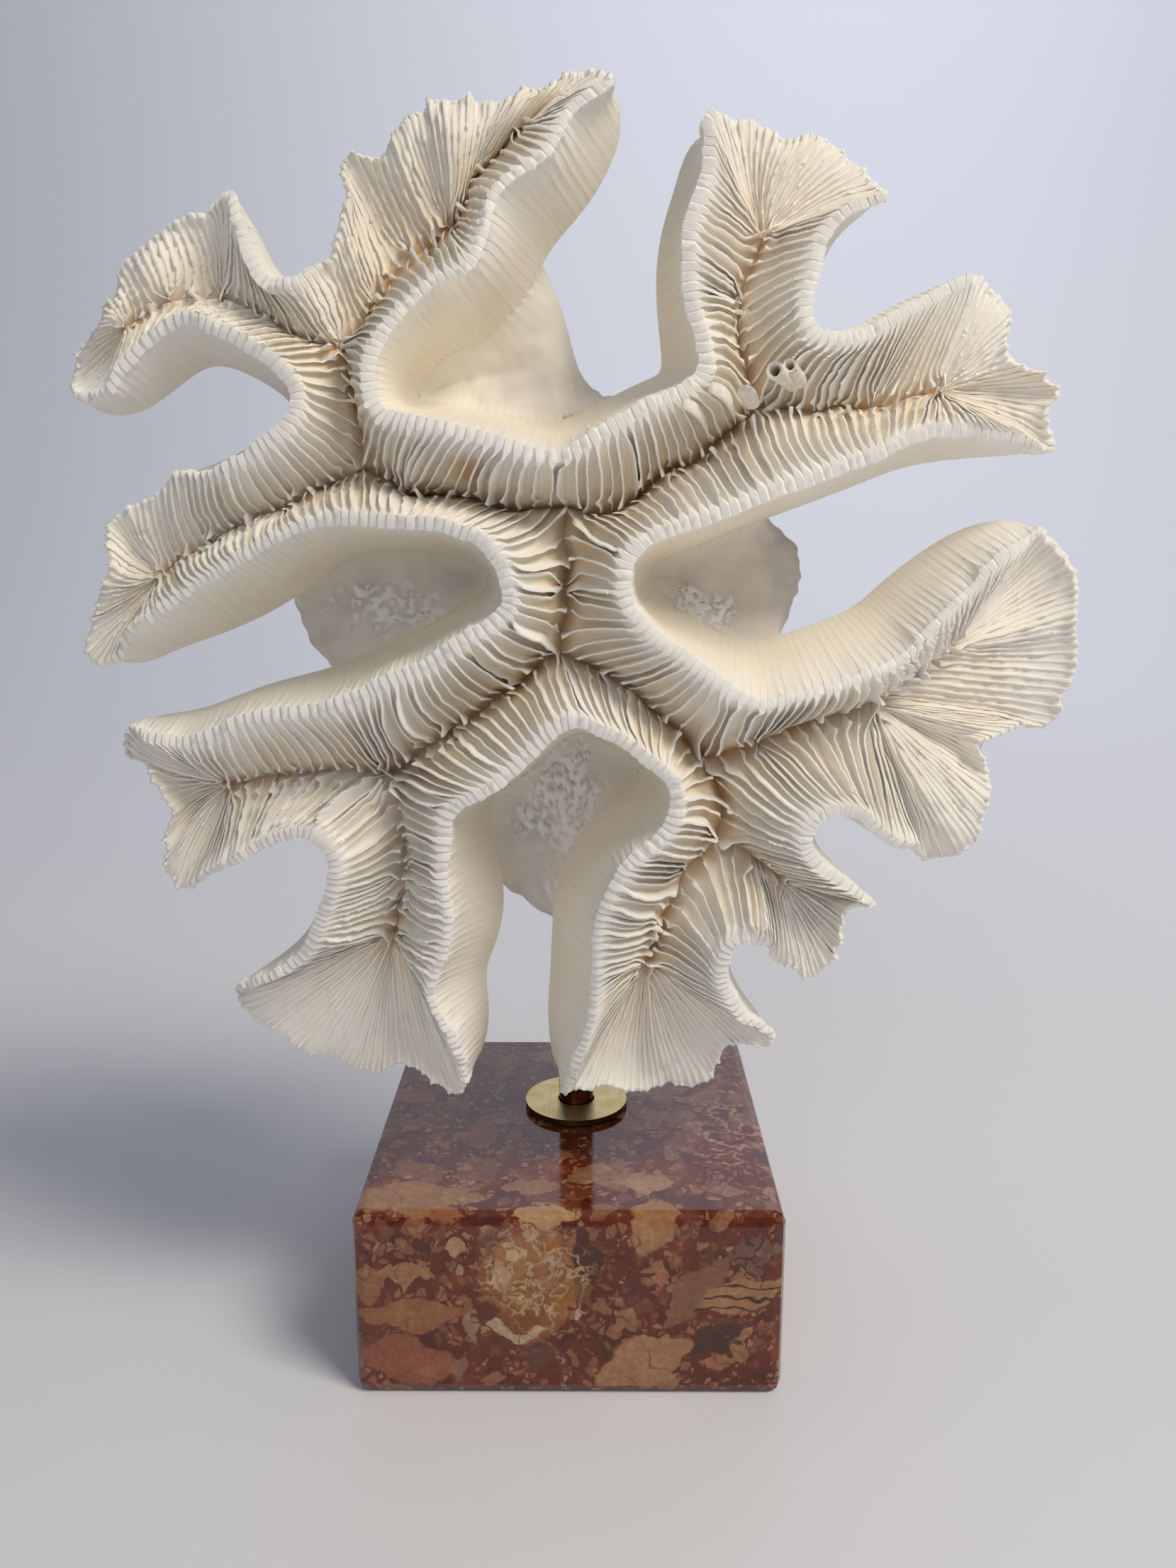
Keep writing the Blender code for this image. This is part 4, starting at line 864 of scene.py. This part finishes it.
def plate_mesh(wall_spots):
    """The plate as rings from the middle of its front, over its broken edge, to its back."""
    angle = np.arange(PLATE_COLUMNS) * 2 * math.pi / PLATE_COLUMNS
    turns = np.degrees(angle)
    reach = np.interp(turns, sorted(PLATE_REACH), [PLATE_REACH[a] for a in sorted(PLATE_REACH)])
    reach = smoothed(reach, 14)
    broken = smoothed(rng.normal(size=PLATE_COLUMNS), 2) * EDGE_FINE
    broken = broken + smoothed(rng.normal(size=PLATE_COLUMNS), 90) * EDGE_WIDE
    share_f = np.linspace(0.0, 1.0, FRONT_RINGS + 1)[1:]
    along = np.linspace(0.0, 1.0, BACK_RINGS + 1)[1:]
    steps = np.linspace(0.0, 1.0, len(PLATE_BACK))
    share_b = np.interp(along, steps, [p[0] for p in PLATE_BACK])
    depth_b = np.interp(along, steps, [p[1] for p in PLATE_BACK])
    share = np.concatenate([share_f, share_b])[:, None]
    depth = np.concatenate([np.interp(share_f, [p[0] for p in PLATE_FRONT], [p[1] for p in PLATE_FRONT]), depth_b])
    above = (turns > WING[0]) & (turns < WING[1])
    calm = smoothed(np.where(above, np.minimum(reach, STALK_REACH), reach), 80)[None]
    behind = (np.arange(len(share)) >= FRONT_RINGS)[:, None] * step_up(0.98, 0.6, share)
    r = (reach[None] * (1 - behind) + calm * behind) * share + (broken * EDGE_RAGGED)[None] * step_up(0.8, 1.0, share)
    x = PLATE_CENTRE[0] + r * np.cos(angle)[None]
    z = PLATE_CENTRE[1] + r * np.sin(angle)[None]
    y = np.repeat(depth[:, None], PLATE_COLUMNS, axis=1)
    gap, wide_at = nearest(np.stack([x.ravel(), z.ravel()], 1)[:FRONT_RINGS * PLATE_COLUMNS], wall_spots)
    gap, wide_at = gap.reshape(FRONT_RINGS, PLATE_COLUMNS), wide_at.reshape(FRONT_RINGS, PLATE_COLUMNS)
    front = slice(0, FRONT_RINGS)
    crust = np.zeros_like(y)
    for cx, cz, wide, high in CRUSTS:
        away = np.hypot((x - cx) / wide, (z - cz) / high) + 0.45 * soft_noise(x, z, 3.1) + 0.3 * soft_noise(x, z, 1.1)
        crust = np.maximum(crust, step_up(1.15, 0.6, away))
    crust[FRONT_RINGS:] = 0
    wing = (step_up(*WING_RISES, turns) * step_up(*WING_ENDS, turns))[None] * step_up(*WING_OUTSIDE, r[front])
    climb = 1 - np.sqrt(1 - np.clip(1 - gap / (FILLET_REACH + WING_FILLET * wing), 0, 1) ** 2)
    y[front] -= np.maximum(y[front] - wide_at + 1.0, 1.0) * climb * step_up(1.0, 0.95, share[front])
    y[front] -= 0.55 * soft_noise(x, z, 7.0)[front] + 0.25 * soft_noise(x, z, 2.3)[front]
    grains = rng.uniform(-GRAIN_FIELD, GRAIN_FIELD, (GRAINS, 3)) + np.array([PLATE_CENTRE[0], 0.0, PLATE_CENTRE[1]])
    flat = np.stack([x[front].ravel(), z[front].ravel()], 1)
    from_grain, lot = nearest(flat, grains)
    bead = np.sqrt(np.maximum(0.0, 1 - (from_grain / GRAIN_RADIUS) ** 2)).reshape(FRONT_RINGS, PLATE_COLUMNS)
    kept = (lot / (2 * GRAIN_FIELD) + 0.5).reshape(FRONT_RINGS, PLATE_COLUMNS) < 0.15 + 0.8 * crust[front]
    crust[front] *= kept * step_up(0.0, 0.5, bead)
    y[front] -= crust[front] * (0.15 + GRAIN_HEIGHT * bead)
    rib = np.sin(angle * BACK_RIBS + 1.7 * np.sin(angle * 5)) * BACK_RIB_HEIGHT
    y[FRONT_RINGS:] -= (rib[None] * step_up(0.0, 0.15, along)[:, None])
    back_rough = 0.5 * soft_noise(x, z, 5.0) + 0.3 * soft_noise(x, z, 1.6)
    y[FRONT_RINGS:-1] += back_rough[FRONT_RINGS:-1] * np.minimum(1, (PLATE_BACK[-1][1] - depth_b[:-1]) / 4)[:, None]
    y = np.minimum(y, PLATE_BACK[-1][1])
    points = np.stack([x, y, z], axis=-1).reshape(-1, 3)
    rings = FRONT_RINGS + BACK_RINGS
    at = np.arange(rings * PLATE_COLUMNS).reshape(rings, PLATE_COLUMNS)
    a, b = at[:-1], at[1:]
    quads = np.stack([a, np.roll(a, -1, 1), np.roll(b, -1, 1), b], -1).reshape(-1, 4).tolist()
    tip, tail = len(points), len(points) + 1
    points = np.concatenate([points, [(PLATE_CENTRE[0], y[0].mean(), PLATE_CENTRE[1]),
                                      (PLATE_CENTRE[0], PLATE_BACK[-1][1], PLATE_CENTRE[1])]])
    first_ring, last_ring = at[0].tolist(), at[-1].tolist()
    quads += [(tip, first_ring[(k + 1) % PLATE_COLUMNS], first_ring[k]) for k in range(PLATE_COLUMNS)]
    quads += [(tail, last_ring[k], last_ring[(k + 1) % PLATE_COLUMNS]) for k in range(PLATE_COLUMNS)]
    mesh = bpy.data.meshes.new("plate")
    mesh.from_pydata((points * MM).tolist(), [], quads)
    shade_smooth(mesh, BROKEN_ANGLE)
    blend = np.full_like(y, IVORY_BEHIND)
    blend[front] = np.exp(-gap / (2.5 + 12.0 * wing))
    for fact, values in (("crust", crust), ("blend", blend)):
        note(mesh, fact, np.append(values.ravel(), [0.0, 0.0]))
    return mesh


# Aragonite again, here as a smooth grey-lilac skin with a low gloss; the crusts are chalk white.
plate_skin, tree, shader = new_material("aragonite_plate_skin")
crusted, blended = [add(tree, "ShaderNodeAttribute", out="Fac", attribute_name=fact) for fact in ("crust", "blend")]
place = add(tree, "ShaderNodeTexCoord", out="Object")
cloudy = add(tree, "ShaderNodeTexNoise", {"Vector": place, "Scale": 120.0, "Detail": 5.0}, out="Fac")
tone = add(tree, "ShaderNodeValToRGB", (cloudy,),
           stops=((0.35, linear("#D6CEC9")), (0.7, linear("#EFEAE0")), (0.5, linear("#E3DCD4"))))
for mask, shade in ((blended, "#F4EEDF"), (crusted, "#F7F6F4")):
    tone = add(tree, "ShaderNodeMix", (mask, tone, linear(shade)), data_type="RGBA")
feed(tree, shader.inputs, {"Base Color": tone, "Roughness": 0.6, "Subsurface Weight": 0.25,
                           "Subsurface Radius": (1.0, 0.8, 0.6), "Subsurface Scale": 0.0012})

# It climbs to the widest places of the walls, where those lie at a depth that it can reach
widest = path[:, INNER_ROWS + 1 + OUTER_ROWS // 2]
widest = widest[(widest[:, 1] > -31.0) & (widest[:, 1] < -10.0)]
plate = in_scene("plate_and_stalk", plate_mesh(widest))
plate.data.materials.append(plate_skin)
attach(plate, "root")
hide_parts("coral_middle")


# Guests on the coral
# A worm built two chalk tubes into the wall near the top right fork; beside them lie a broken flake
# and two thick, wave-like septa with pointed ends. All are aragonite and grown fast to the wall.
# Tubes: mouth and end in the wall, as (x, z, y) on the front plane, and relative size
TUBES = {"worm_tube": ((32.3, 184.1, -43.6), (35.2, 182.2, -35.0), 1.0),
         "worm_tube_half_open": ((34.6, 184.8, -41.0), (36.4, 182.4, -35.0), 0.85)}
TUBE_RADIUS = 1.35
GROWTH_RING = 0.1
RING_TURNS = 40
TUBE_BORE = 0.85
BORE_DEPTH = 0.5
# Wave-like septa: start on the crest, pointed end, thickness; and how they bow
HORNS = [((22.6, 181.6, -44.6), (26.6, 176.0, -38.6), 0.85), ((18.4, 179.2, -44.6), (22.6, 173.4, -38.0), 0.75)]
HORN_BOW = (0.5, -1.7, 1.1)
FLAKE_AT = (28.3, 180.6, -42.4)
FLAKE_SIZE = (1.5, 1.1)


def rings_mesh(name, rings, mat):
    """A closed mesh through rings of points, its first and last rings closed by a face."""
    count = len(rings[0])
    mesh = bpy.data.meshes.new(name)
    faces = [(i * count + k, i * count + (k + 1) % count, (i + 1) * count + (k + 1) % count, (i + 1) * count + k)
             for i in range(len(rings) - 1) for k in range(count)]
    last = (len(rings) - 1) * count
    faces += [tuple(reversed(range(count))), tuple(last + k for k in range(count))]
    mesh.from_pydata([[v * MM for v in p] for ring in rings for p in ring], [], faces)
    build = bmesh.new()
    build.from_mesh(mesh)
    bmesh.ops.recalc_face_normals(build, faces=build.faces)
    build.to_mesh(mesh)
    build.free()
    shade_smooth(mesh, BROKEN_ANGLE)
    mesh.materials.append(mat)
    obj = in_scene(name, mesh)
    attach(obj, "root")
    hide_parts("coral_middle")


def ring_round(middle, way, radius_a, radius_b, sides=28, rough=0.06):
    """An uneven ring of points about a middle, square to a way."""
    way = Vector(way).normalized()
    one = way.cross(Vector((0, 0, 1))).normalized()
    two = way.cross(one)
    uneven = smoothed(rng.normal(size=sides), 2)
    return [Vector(middle) + (one * math.cos(a) * radius_a + two * math.sin(a) * radius_b) * (1 + rough * uneven[i])
            for i, a in enumerate(np.arange(sides) * 2 * math.pi / sides)]


def worm_tube(name, front, back, size, mat):
    """A tube with growth rings outside and an open bore, from its mouth back into the wall."""
    front, back = Vector(seen(*front)), Vector(seen(*back))
    way = back - front
    outside = []
    for t in np.linspace(1, 0, 14):
        grown = size * (TUBE_RADIUS + GROWTH_RING * math.sin(t * RING_TURNS))
        outside.append(ring_round(front + way * t, way, grown, grown))
    inside = [ring_round(front + way * t, way, size * r, size * r) for t, r in
              ((0.0, TUBE_BORE + 0.25), (0.02, TUBE_BORE + 0.05), (0.2, TUBE_BORE), (BORE_DEPTH, TUBE_BORE * 0.9))]
    return rings_mesh(name, outside + inside, mat)


def horn(name, start, end, thick, mat):
    """A thick septum that rises from the crest, swells like a wave and ends in a point."""
    start, end = Vector(seen(*start)), Vector(seen(*end))
    rings = []
    for t in np.linspace(0, 1, 18):
        bow = Vector(HORN_BOW) * math.sin(math.pi * t) * 0.9
        size = thick * (0.35 + 0.65 * math.sin(math.pi * min(1.0, 0.25 + 0.75 * t)) ** 0.8) * (1 - 0.9 * t ** 3)
        rings.append(ring_round(start + (end - start) * t + bow, end - start, size * 0.55, size * 1.5, 20, 0.04))
    return rings_mesh(name, rings, mat)


# The same chalky aragonite without plates; inside the bores dark brown is painted as shade.
tube_bone, tree, shader = new_material("aragonite_worm_tube")
place = add(tree, "ShaderNodeTexCoord", out="Object")
fine = add(tree, "ShaderNodeTexNoise", {"Vector": place, "Scale": 900.0, "Detail": 4.0}, out="Fac")
tone = add(tree, "ShaderNodeValToRGB", (fine,), stops=((0.3, linear("#E6DCC4")), (0.7, linear("#F6F2E8"))))
for front, back, size in TUBES.values():
    in_bore = seen(*front) * 0.62 + seen(*back) * 0.38
    # Painted shade: a dark brown lump inside each bore, a little back from the mouth
    bore_shade = within(tree, place, in_bore, [0.9 * size, 2.4, 0.9 * size], low=1.05, high=0.8)
    tone = add(tree, "ShaderNodeMix", (bore_shade, tone, linear("#5A3A20")), data_type="RGBA")
lumps = add(tree, "ShaderNodeBump", {"Strength": 0.4, "Distance": 0.0002, "Height": fine})
feed(tree, shader.inputs, {"Base Color": tone, "Roughness": 0.7, "Normal": lumps})

for name, (front, back, size) in TUBES.items():
    worm_tube(name, front, back, size, tube_bone)
for number, (start, end, thick) in enumerate(HORNS):
    horn(f"wave_septum_{number + 1}", start, end, thick, tube_bone)
flake_middle = Vector(seen(*FLAKE_AT))
rings_mesh("broken_flake", [ring_round(flake_middle + Vector((0.4, 1.0, -0.5)) * t, (0.3, 1.0, 0.4),
                                       FLAKE_SIZE[0] * r, FLAKE_SIZE[1] * r, 9, 0.25)
                            for t, r in ((-1.0, 0.45), (-0.8, 0.9), (0.2, 1.0), (2.5, 0.8))], tube_bone)


# Marble block
# A square block of red breccia: clasts of cream, pink and grey-violet stone in a brown-red matrix,
# with one white and ochre fossil on the front. Sawn, chamfered and polished to a gloss.
CLAST_WARP = 0.0022
FINE_WARP = 0.0005
# Clasts by their place on the front or the top, in mm: (x, y, z, half width, half height as seen, half
# depth into the stone, turn in degrees on the face, colour)
CLASTS = [
    (-6.1, -40, 24.5, 11.5, 13.0, 6.0, 0, "#A9714A"), (-6.5, -40, 26.5, 8.6, 9.0, 5.0, 20, "#BE9062"),
    (-10.1, -40, 14.2, 5.6, 3.4, 2.5, 0, "#E4DCC9"), (-9.8, -40, 16.0, 4.2, 2.9, 3.2, 0, "#9A6330"),
    (-5.0, -39, 37.0, 7.0, 3.0, 4.0, 5, "#DFC5A8"), (-7.7, -40, 22.9, 3.3, 3.6, 2.5, 0, "#A8853C"),
    (-1.5, -40, 19.5, 2.6, 3.6, 2.5, 0, "#B98440"), (-10.4, -40, 28.6, 1.9, 1.2, 1.5, -25, "#EADFCB"),
    (1.9, -40, 17.9, 1.1, 1.5, 1.5, 0, "#E8DFCF"), (-20.7, -40, 30.4, 1.5, 2.3, 2.0, 0, "#D8BFA4"),
    (-12.5, -40, 24.5, 1.6, 4.6, 2.0, -15, "#DCC6A2"), (-3.0, -40, 30.5, 2.2, 1.5, 2.0, 0, "#C8892F"),
    (-29.5, -33.5, 37, 14.5, 6.0, 4.6, 0, "#BE9C78"), (-29.6, -40, 16.8, 10.3, 4.0, 6.0, 0, "#B78761"),
    (-30.3, -40, 7.3, 9.8, 5.8, 7.0, 12, "#B07462"), (-37.5, -40, 23.3, 3.4, 4.8, 4.0, 0, "#B78663"),
    (-30.6, -40, 25.4, 4.6, 2.1, 3.0, -6, "#C59E7D"), (3.5, -40, 28.6, 3.0, 6.8, 3.0, -14, "#4A1F28"),
    (2.3, -40, 22.6, 1.4, 5.8, 2.0, -26, "#8C6B3A"), (15.1, -38, 34.0, 5.2, 7.0, 6.0, 24, "#CCA57F"),
    (16.8, -40, 25.2, 1.7, 2.9, 2.0, -12, "#C98F78"), (9.6, -40, 14.5, 1.5, 1.3, 1.5, 0, "#C69A76"),
    (11.9, -40, 21.8, 3.2, 3.4, 3.0, 0, "#6B332E"), (23.7, -40, 22.0, 10.0, 3.8, 5.0, -50, "#9B7A66"),
    (35.0, -38, 29.8, 6.2, 6.2, 5.0, 0, "#8A6B6B"), (32.5, -40, 21.2, 9.0, 3.6, 5.0, -14, "#C4A27D"),
    (26.8, -40, 11.9, 6.6, 3.8, 4.0, -32, "#43322F"), (13.8, -40, 7.0, 10.0, 5.6, 6.0, -24, "#CDA88A"),
    (27.5, -40, 6.9, 3.5, 1.9, 2.0, -8, "#C08F72"), (-5.9, -40, 8.4, 3.3, 3.3, 2.5, 0, "#6E5048"),
    (-18.0, -40, 13.7, 1.8, 3.6, 2.5, -10, "#B0A08A"), (-20.3, -40, 5.3, 1.8, 2.7, 2.5, 10, "#A88C8A"),
    (-22.5, -39, 37.0, 3.2, 2.6, 3.0, 0, "#C4886B"), (-15.5, -39.5, 36.3, 4.2, 2.2, 2.0, 0, "#5C2320"),
    (-18.2, -8.0, 37, 3.8, 8.0, 3.0, 0, "#A87C6E"), (-7.5, -30.0, 37, 6.5, 3.0, 2.2, 0, "#B3917F"),
    (14.4, -28.0, 37, 5.4, 4.6, 2.6, 0, "#D0B39B"), (17.0, -1.0, 37, 3.0, 4.0, 2.4, 0, "#A87668"),
    (29.7, -31.0, 37, 3.6, 2.6, 3.0, 0, "#B29680"), (37.9, -32.0, 37, 1.8, 3.2, 3.0, 0, "#C9A78E"),
    (19.2, 12.0, 37, 6.5, 5.0, 3.0, 0, "#A88B78"), (-35.0, -4.0, 37, 4.0, 2.6, 2.0, 0, "#9C7C70"),
]
# Fields with a pattern of their own: (x, y, z, half width, half depth along y, half height), in mm
VIOLET_FIELDS = [(-25.0, -8.0, 37.0, 15.0, 16.0, 8.0), (6.0, -16.0, 37.0, 15.0, 11.0, 5.0),
                 (-22.0, 30.0, 37.0, 18.0, 9.0, 9.0)]
WHITE_NET = (31.5, -8.0, 37.0, 9.5, 15.0, 5.0)
BLACK_NET = (35.0, -40.0, 29.0, 6.5, 5.0, 8.0)
BLACK_BANDS = (32.0, -40.0, 20.5, 9.5, 6.0, 3.6)
BANDS_TURN = -14
BAND_SPACING = 0.0022
FOSSIL = (-6.1, -40.0, 25.5, 12.0, 6.0, 13.5)

marble, tree, shader = new_material("polished_red_breccia_marble")
place = add(tree, "ShaderNodeTexCoord", out="Object")


def warped(where, scale, size):
    """A place pushed about by noise, by up to size in metres."""
    noise = add(tree, "ShaderNodeTexNoise", {"Vector": where, "Scale": scale, "Detail": 2.0}, out="Color")
    push = add(tree, "ShaderNodeVectorMath", (noise, (0.5, 0.5, 0.5)), operation="SUBTRACT")
    push = add(tree, "ShaderNodeVectorMath", {"Vector": push, "Scale": size * 2}, operation="SCALE")
    return add(tree, "ShaderNodeVectorMath", (where, push), operation="ADD")


def line_in(noise, middle, half_width):
    """1 along the line where a noise passes a value, 0 away from it."""
    off = add(tree, "ShaderNodeMath", (add(tree, "ShaderNodeMath", (noise, middle), operation="SUBTRACT"),),
              operation="ABSOLUTE")
    return add(tree, "ShaderNodeMapRange", (off, half_width, half_width * 0.4, 0.0, 1.0))


stone = warped(warped(place, 150.0, CLAST_WARP), 900.0, FINE_WARP)
coarse = add(tree, "ShaderNodeTexNoise", {"Vector": place, "Scale": 110.0, "Detail": 6.0, "Roughness": 0.62},
             out="Fac")
grit = add(tree, "ShaderNodeTexNoise", {"Vector": place, "Scale": 900.0, "Detail": 3.0}, out="Fac")
tone = add(tree, "ShaderNodeValToRGB", (coarse,), stops=(
    (0.32, linear("#3E140B")), (0.72, linear("#964522")), (0.45, linear("#672411")), (0.58, linear("#7C3618"))))
for field in VIOLET_FIELDS:
    mask = within(tree, warped(place, 60.0, 0.006), field[:3], field[3:], low=1.1, high=0.6)
    mask = add(tree, "ShaderNodeMath", (mask, 0.75), operation="MULTIPLY")
    tone = add(tree, "ShaderNodeMix", (mask, tone, linear("#6A474A")), data_type="RGBA")
for scale, share, shades in ((95.0, 0.60, ("#A37A68", "#7A5552", "#BE9A80", "#8C5645")),
                             (240.0, 0.55, ("#B98A70", "#5E2A26", "#C9A98F", "#9C5F4C")),
                             (620.0, 0.50, ("#C08D74", "#D3B9A2", "#8E4F3F", "#B77C68"))):
    cell = {"Vector": stone, "Scale": scale, "Randomness": 1.0}
    chance = add(tree, "ShaderNodeTexVoronoi", cell, out="Color")
    tint, pick = [add(tree, "ShaderNodeSeparateColor", (chance,), out=out) for out in ("Red", "Green")]
    edge = add(tree, "ShaderNodeTexVoronoi", cell, out="Distance", feature="DISTANCE_TO_EDGE")
    edge = add(tree, "ShaderNodeMapRange", (edge, 0.10, 0.15, 0.0, 1.0))
    pick = add(tree, "ShaderNodeMapRange", (pick, share, share + 0.02, 0.0, 0.85))
    shade = add(tree, "ShaderNodeValToRGB", (tint,), stops=(
        (0.1, linear(shades[0])), (0.9, linear(shades[3])), (0.35, linear(shades[1])), (0.65, linear(shades[2]))))
    mask = add(tree, "ShaderNodeMath", (edge, pick), operation="MULTIPLY")
    tone = add(tree, "ShaderNodeMix", (mask, tone, shade), data_type="RGBA")
for x, y, z, wide, high, thick, turn, shade in CLASTS:
    on_top = z >= 37 and y > -38
    half = (wide, high, thick) if on_top else (wide, thick, high)
    mask = within(tree, stone, (x, y, z), half, turn)
    tone = add(tree, "ShaderNodeMix", (mask, tone, linear(shade)), data_type="RGBA")

# Veins, bands, the fossil's cells and hairlines, each a pattern and the field that it shows in
net = add(tree, "ShaderNodeTexNoise", {"Vector": stone, "Scale": 170.0, "Detail": 2.0}, out="Fac")
height = add(tree, "ShaderNodeSeparateXYZ", (warped(place, 130.0, 0.0032),), out="Z")
bands = add(tree, "ShaderNodeMath", (height, 2 * math.pi / BAND_SPACING), operation="MULTIPLY")
bands = add(tree, "ShaderNodeMath", (bands,), operation="SINE")
bands = add(tree, "ShaderNodeMapRange", (bands, 0.72, 0.95, 0.0, 1.0))
cells = add(tree, "ShaderNodeTexNoise", {"Vector": stone, "Scale": 330.0, "Detail": 3.0}, out="Fac")
hairline = add(tree, "ShaderNodeTexNoise", {"Vector": warped(place, 300.0, 0.001), "Scale": 75.0, "Detail": 1.0},
               out="Fac")
for pattern, field, shade in (
        (line_in(net, 0.5, 0.035), within(tree, stone, WHITE_NET[:3], WHITE_NET[3:]), "#D9BCAE"),
        (line_in(net, 0.47, 0.02), within(tree, stone, BLACK_NET[:3], BLACK_NET[3:]), "#3A2A30"),
        (bands, within(tree, stone, BLACK_BANDS[:3], BLACK_BANDS[3:], BANDS_TURN), "#2E211F"),
        (line_in(cells, 0.52, 0.045), within(tree, stone, FOSSIL[:3], FOSSIL[3:], low=1.0, high=0.7), "#E6D6BE"),
        (line_in(hairline, 0.53, 0.006), 0.5, "#3B1A16")):
    mask = add(tree, "ShaderNodeMath", (pattern, field), operation="MULTIPLY")
    tone = add(tree, "ShaderNodeMix", (mask, tone, linear(shade)), data_type="RGBA")

# Mottling and grit over all of it, and a warm filter of polish and age
mottle = add(tree, "ShaderNodeTexNoise", {"Vector": stone, "Scale": 260.0, "Detail": 5.0, "Roughness": 0.7}, out="Fac")
for noise, reach, shade in ((mottle, (0.38, 0.62, 0.32, 0.0), "#7A4630"), (mottle, (0.55, 0.75, 0.0, 0.3), "#DDBFA4"),
                            (grit, (0.35, 0.7, 0.30, 0.0), "#4A2018")):
    mask = add(tree, "ShaderNodeMapRange", (noise, *reach))
    tone = add(tree, "ShaderNodeMix", (mask, tone, linear(shade)), data_type="RGBA")
tone = add(tree, "ShaderNodeMix", (1.0, tone, linear("#E4CEB2")), data_type="RGBA", blend_type="MULTIPLY")
rough = add(tree, "ShaderNodeMapRange", (coarse, 0.3, 0.7, 0.07, 0.15))
feed(tree, shader.inputs, {"Base Color": tone, "Roughness": rough, "IOR": 1.5, "Coat Weight": 0.2,
                           "Coat Roughness": 0.06})
bpy.data.objects["marble_block"].material_slots[0].material = marble


# Rod
# A round steel rod, bronzed to a very dark red-brown and polished; it stands in a hole drilled in
# the block and enters the coral's stalk from below.
bronzed, tree, shader = new_material("bronzed_polished_steel")
place = add(tree, "ShaderNodeTexCoord", out="Object")
turned = add(tree, "ShaderNodeMapping", {"Vector": place, "Scale": (30.0, 30.0, 2400.0)})
lines = add(tree, "ShaderNodeTexNoise", {"Vector": turned, "Scale": 1.0, "Detail": 3.0}, out="Fac")
clouds = add(tree, "ShaderNodeTexNoise", {"Vector": place, "Scale": 220.0, "Detail": 4.0}, out="Fac")
tone = add(tree, "ShaderNodeValToRGB", (clouds,), stops=((0.35, linear("#3A1B14")), (0.7, linear("#5E3024"))))
rough = add(tree, "ShaderNodeMapRange", (lines, 0.3, 0.7, 0.22, 0.36))
feed(tree, shader.inputs, {"Base Color": tone, "Metallic": 1.0, "Roughness": rough})
bpy.data.objects["rod"].material_slots[0].material = bronzed


# Washer
# A flat washer punched from sheet brass, its face rubbed to a satin; its edge and underside painted dark brown, a
# painted reflection of the marble.
satin_brass, tree, shader = new_material("satin_brass")
place = add(tree, "ShaderNodeTexCoord", out="Object")
rubbed = add(tree, "ShaderNodeMapping", {"Vector": place, "Scale": (3000.0, 200.0, 400.0)})
lines = add(tree, "ShaderNodeTexNoise", {"Vector": rubbed, "Scale": 1.0, "Detail": 2.0}, out="Fac")
clouds = add(tree, "ShaderNodeTexNoise", {"Vector": place, "Scale": 260.0, "Detail": 4.0}, out="Fac")
facing = add(tree, "ShaderNodeSeparateXYZ", (add(tree, "ShaderNodeNewGeometry", out="Normal"),), out="Z")
tone = add(tree, "ShaderNodeValToRGB", (clouds,), stops=((0.3, linear("#DDC67C")), (0.75, linear("#F3E2B0"))))
# Painted reflection: faces that do not look up turn dark brown, as the marble mirrored in the brass
painted_edge_reflection = add(tree, "ShaderNodeMapRange", (facing, 0.2, 0.8, 1.0, 0.0))
tone = add(tree, "ShaderNodeMix", (painted_edge_reflection, tone, linear("#6B5428")), data_type="RGBA")
rough = add(tree, "ShaderNodeMapRange", (lines, 0.3, 0.7, 0.34, 0.46))
feed(tree, shader.inputs, {"Base Color": tone, "Metallic": 1.0, "Roughness": rough})
bpy.data.objects["washer"].material_slots[0].material = satin_brass


low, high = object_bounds()
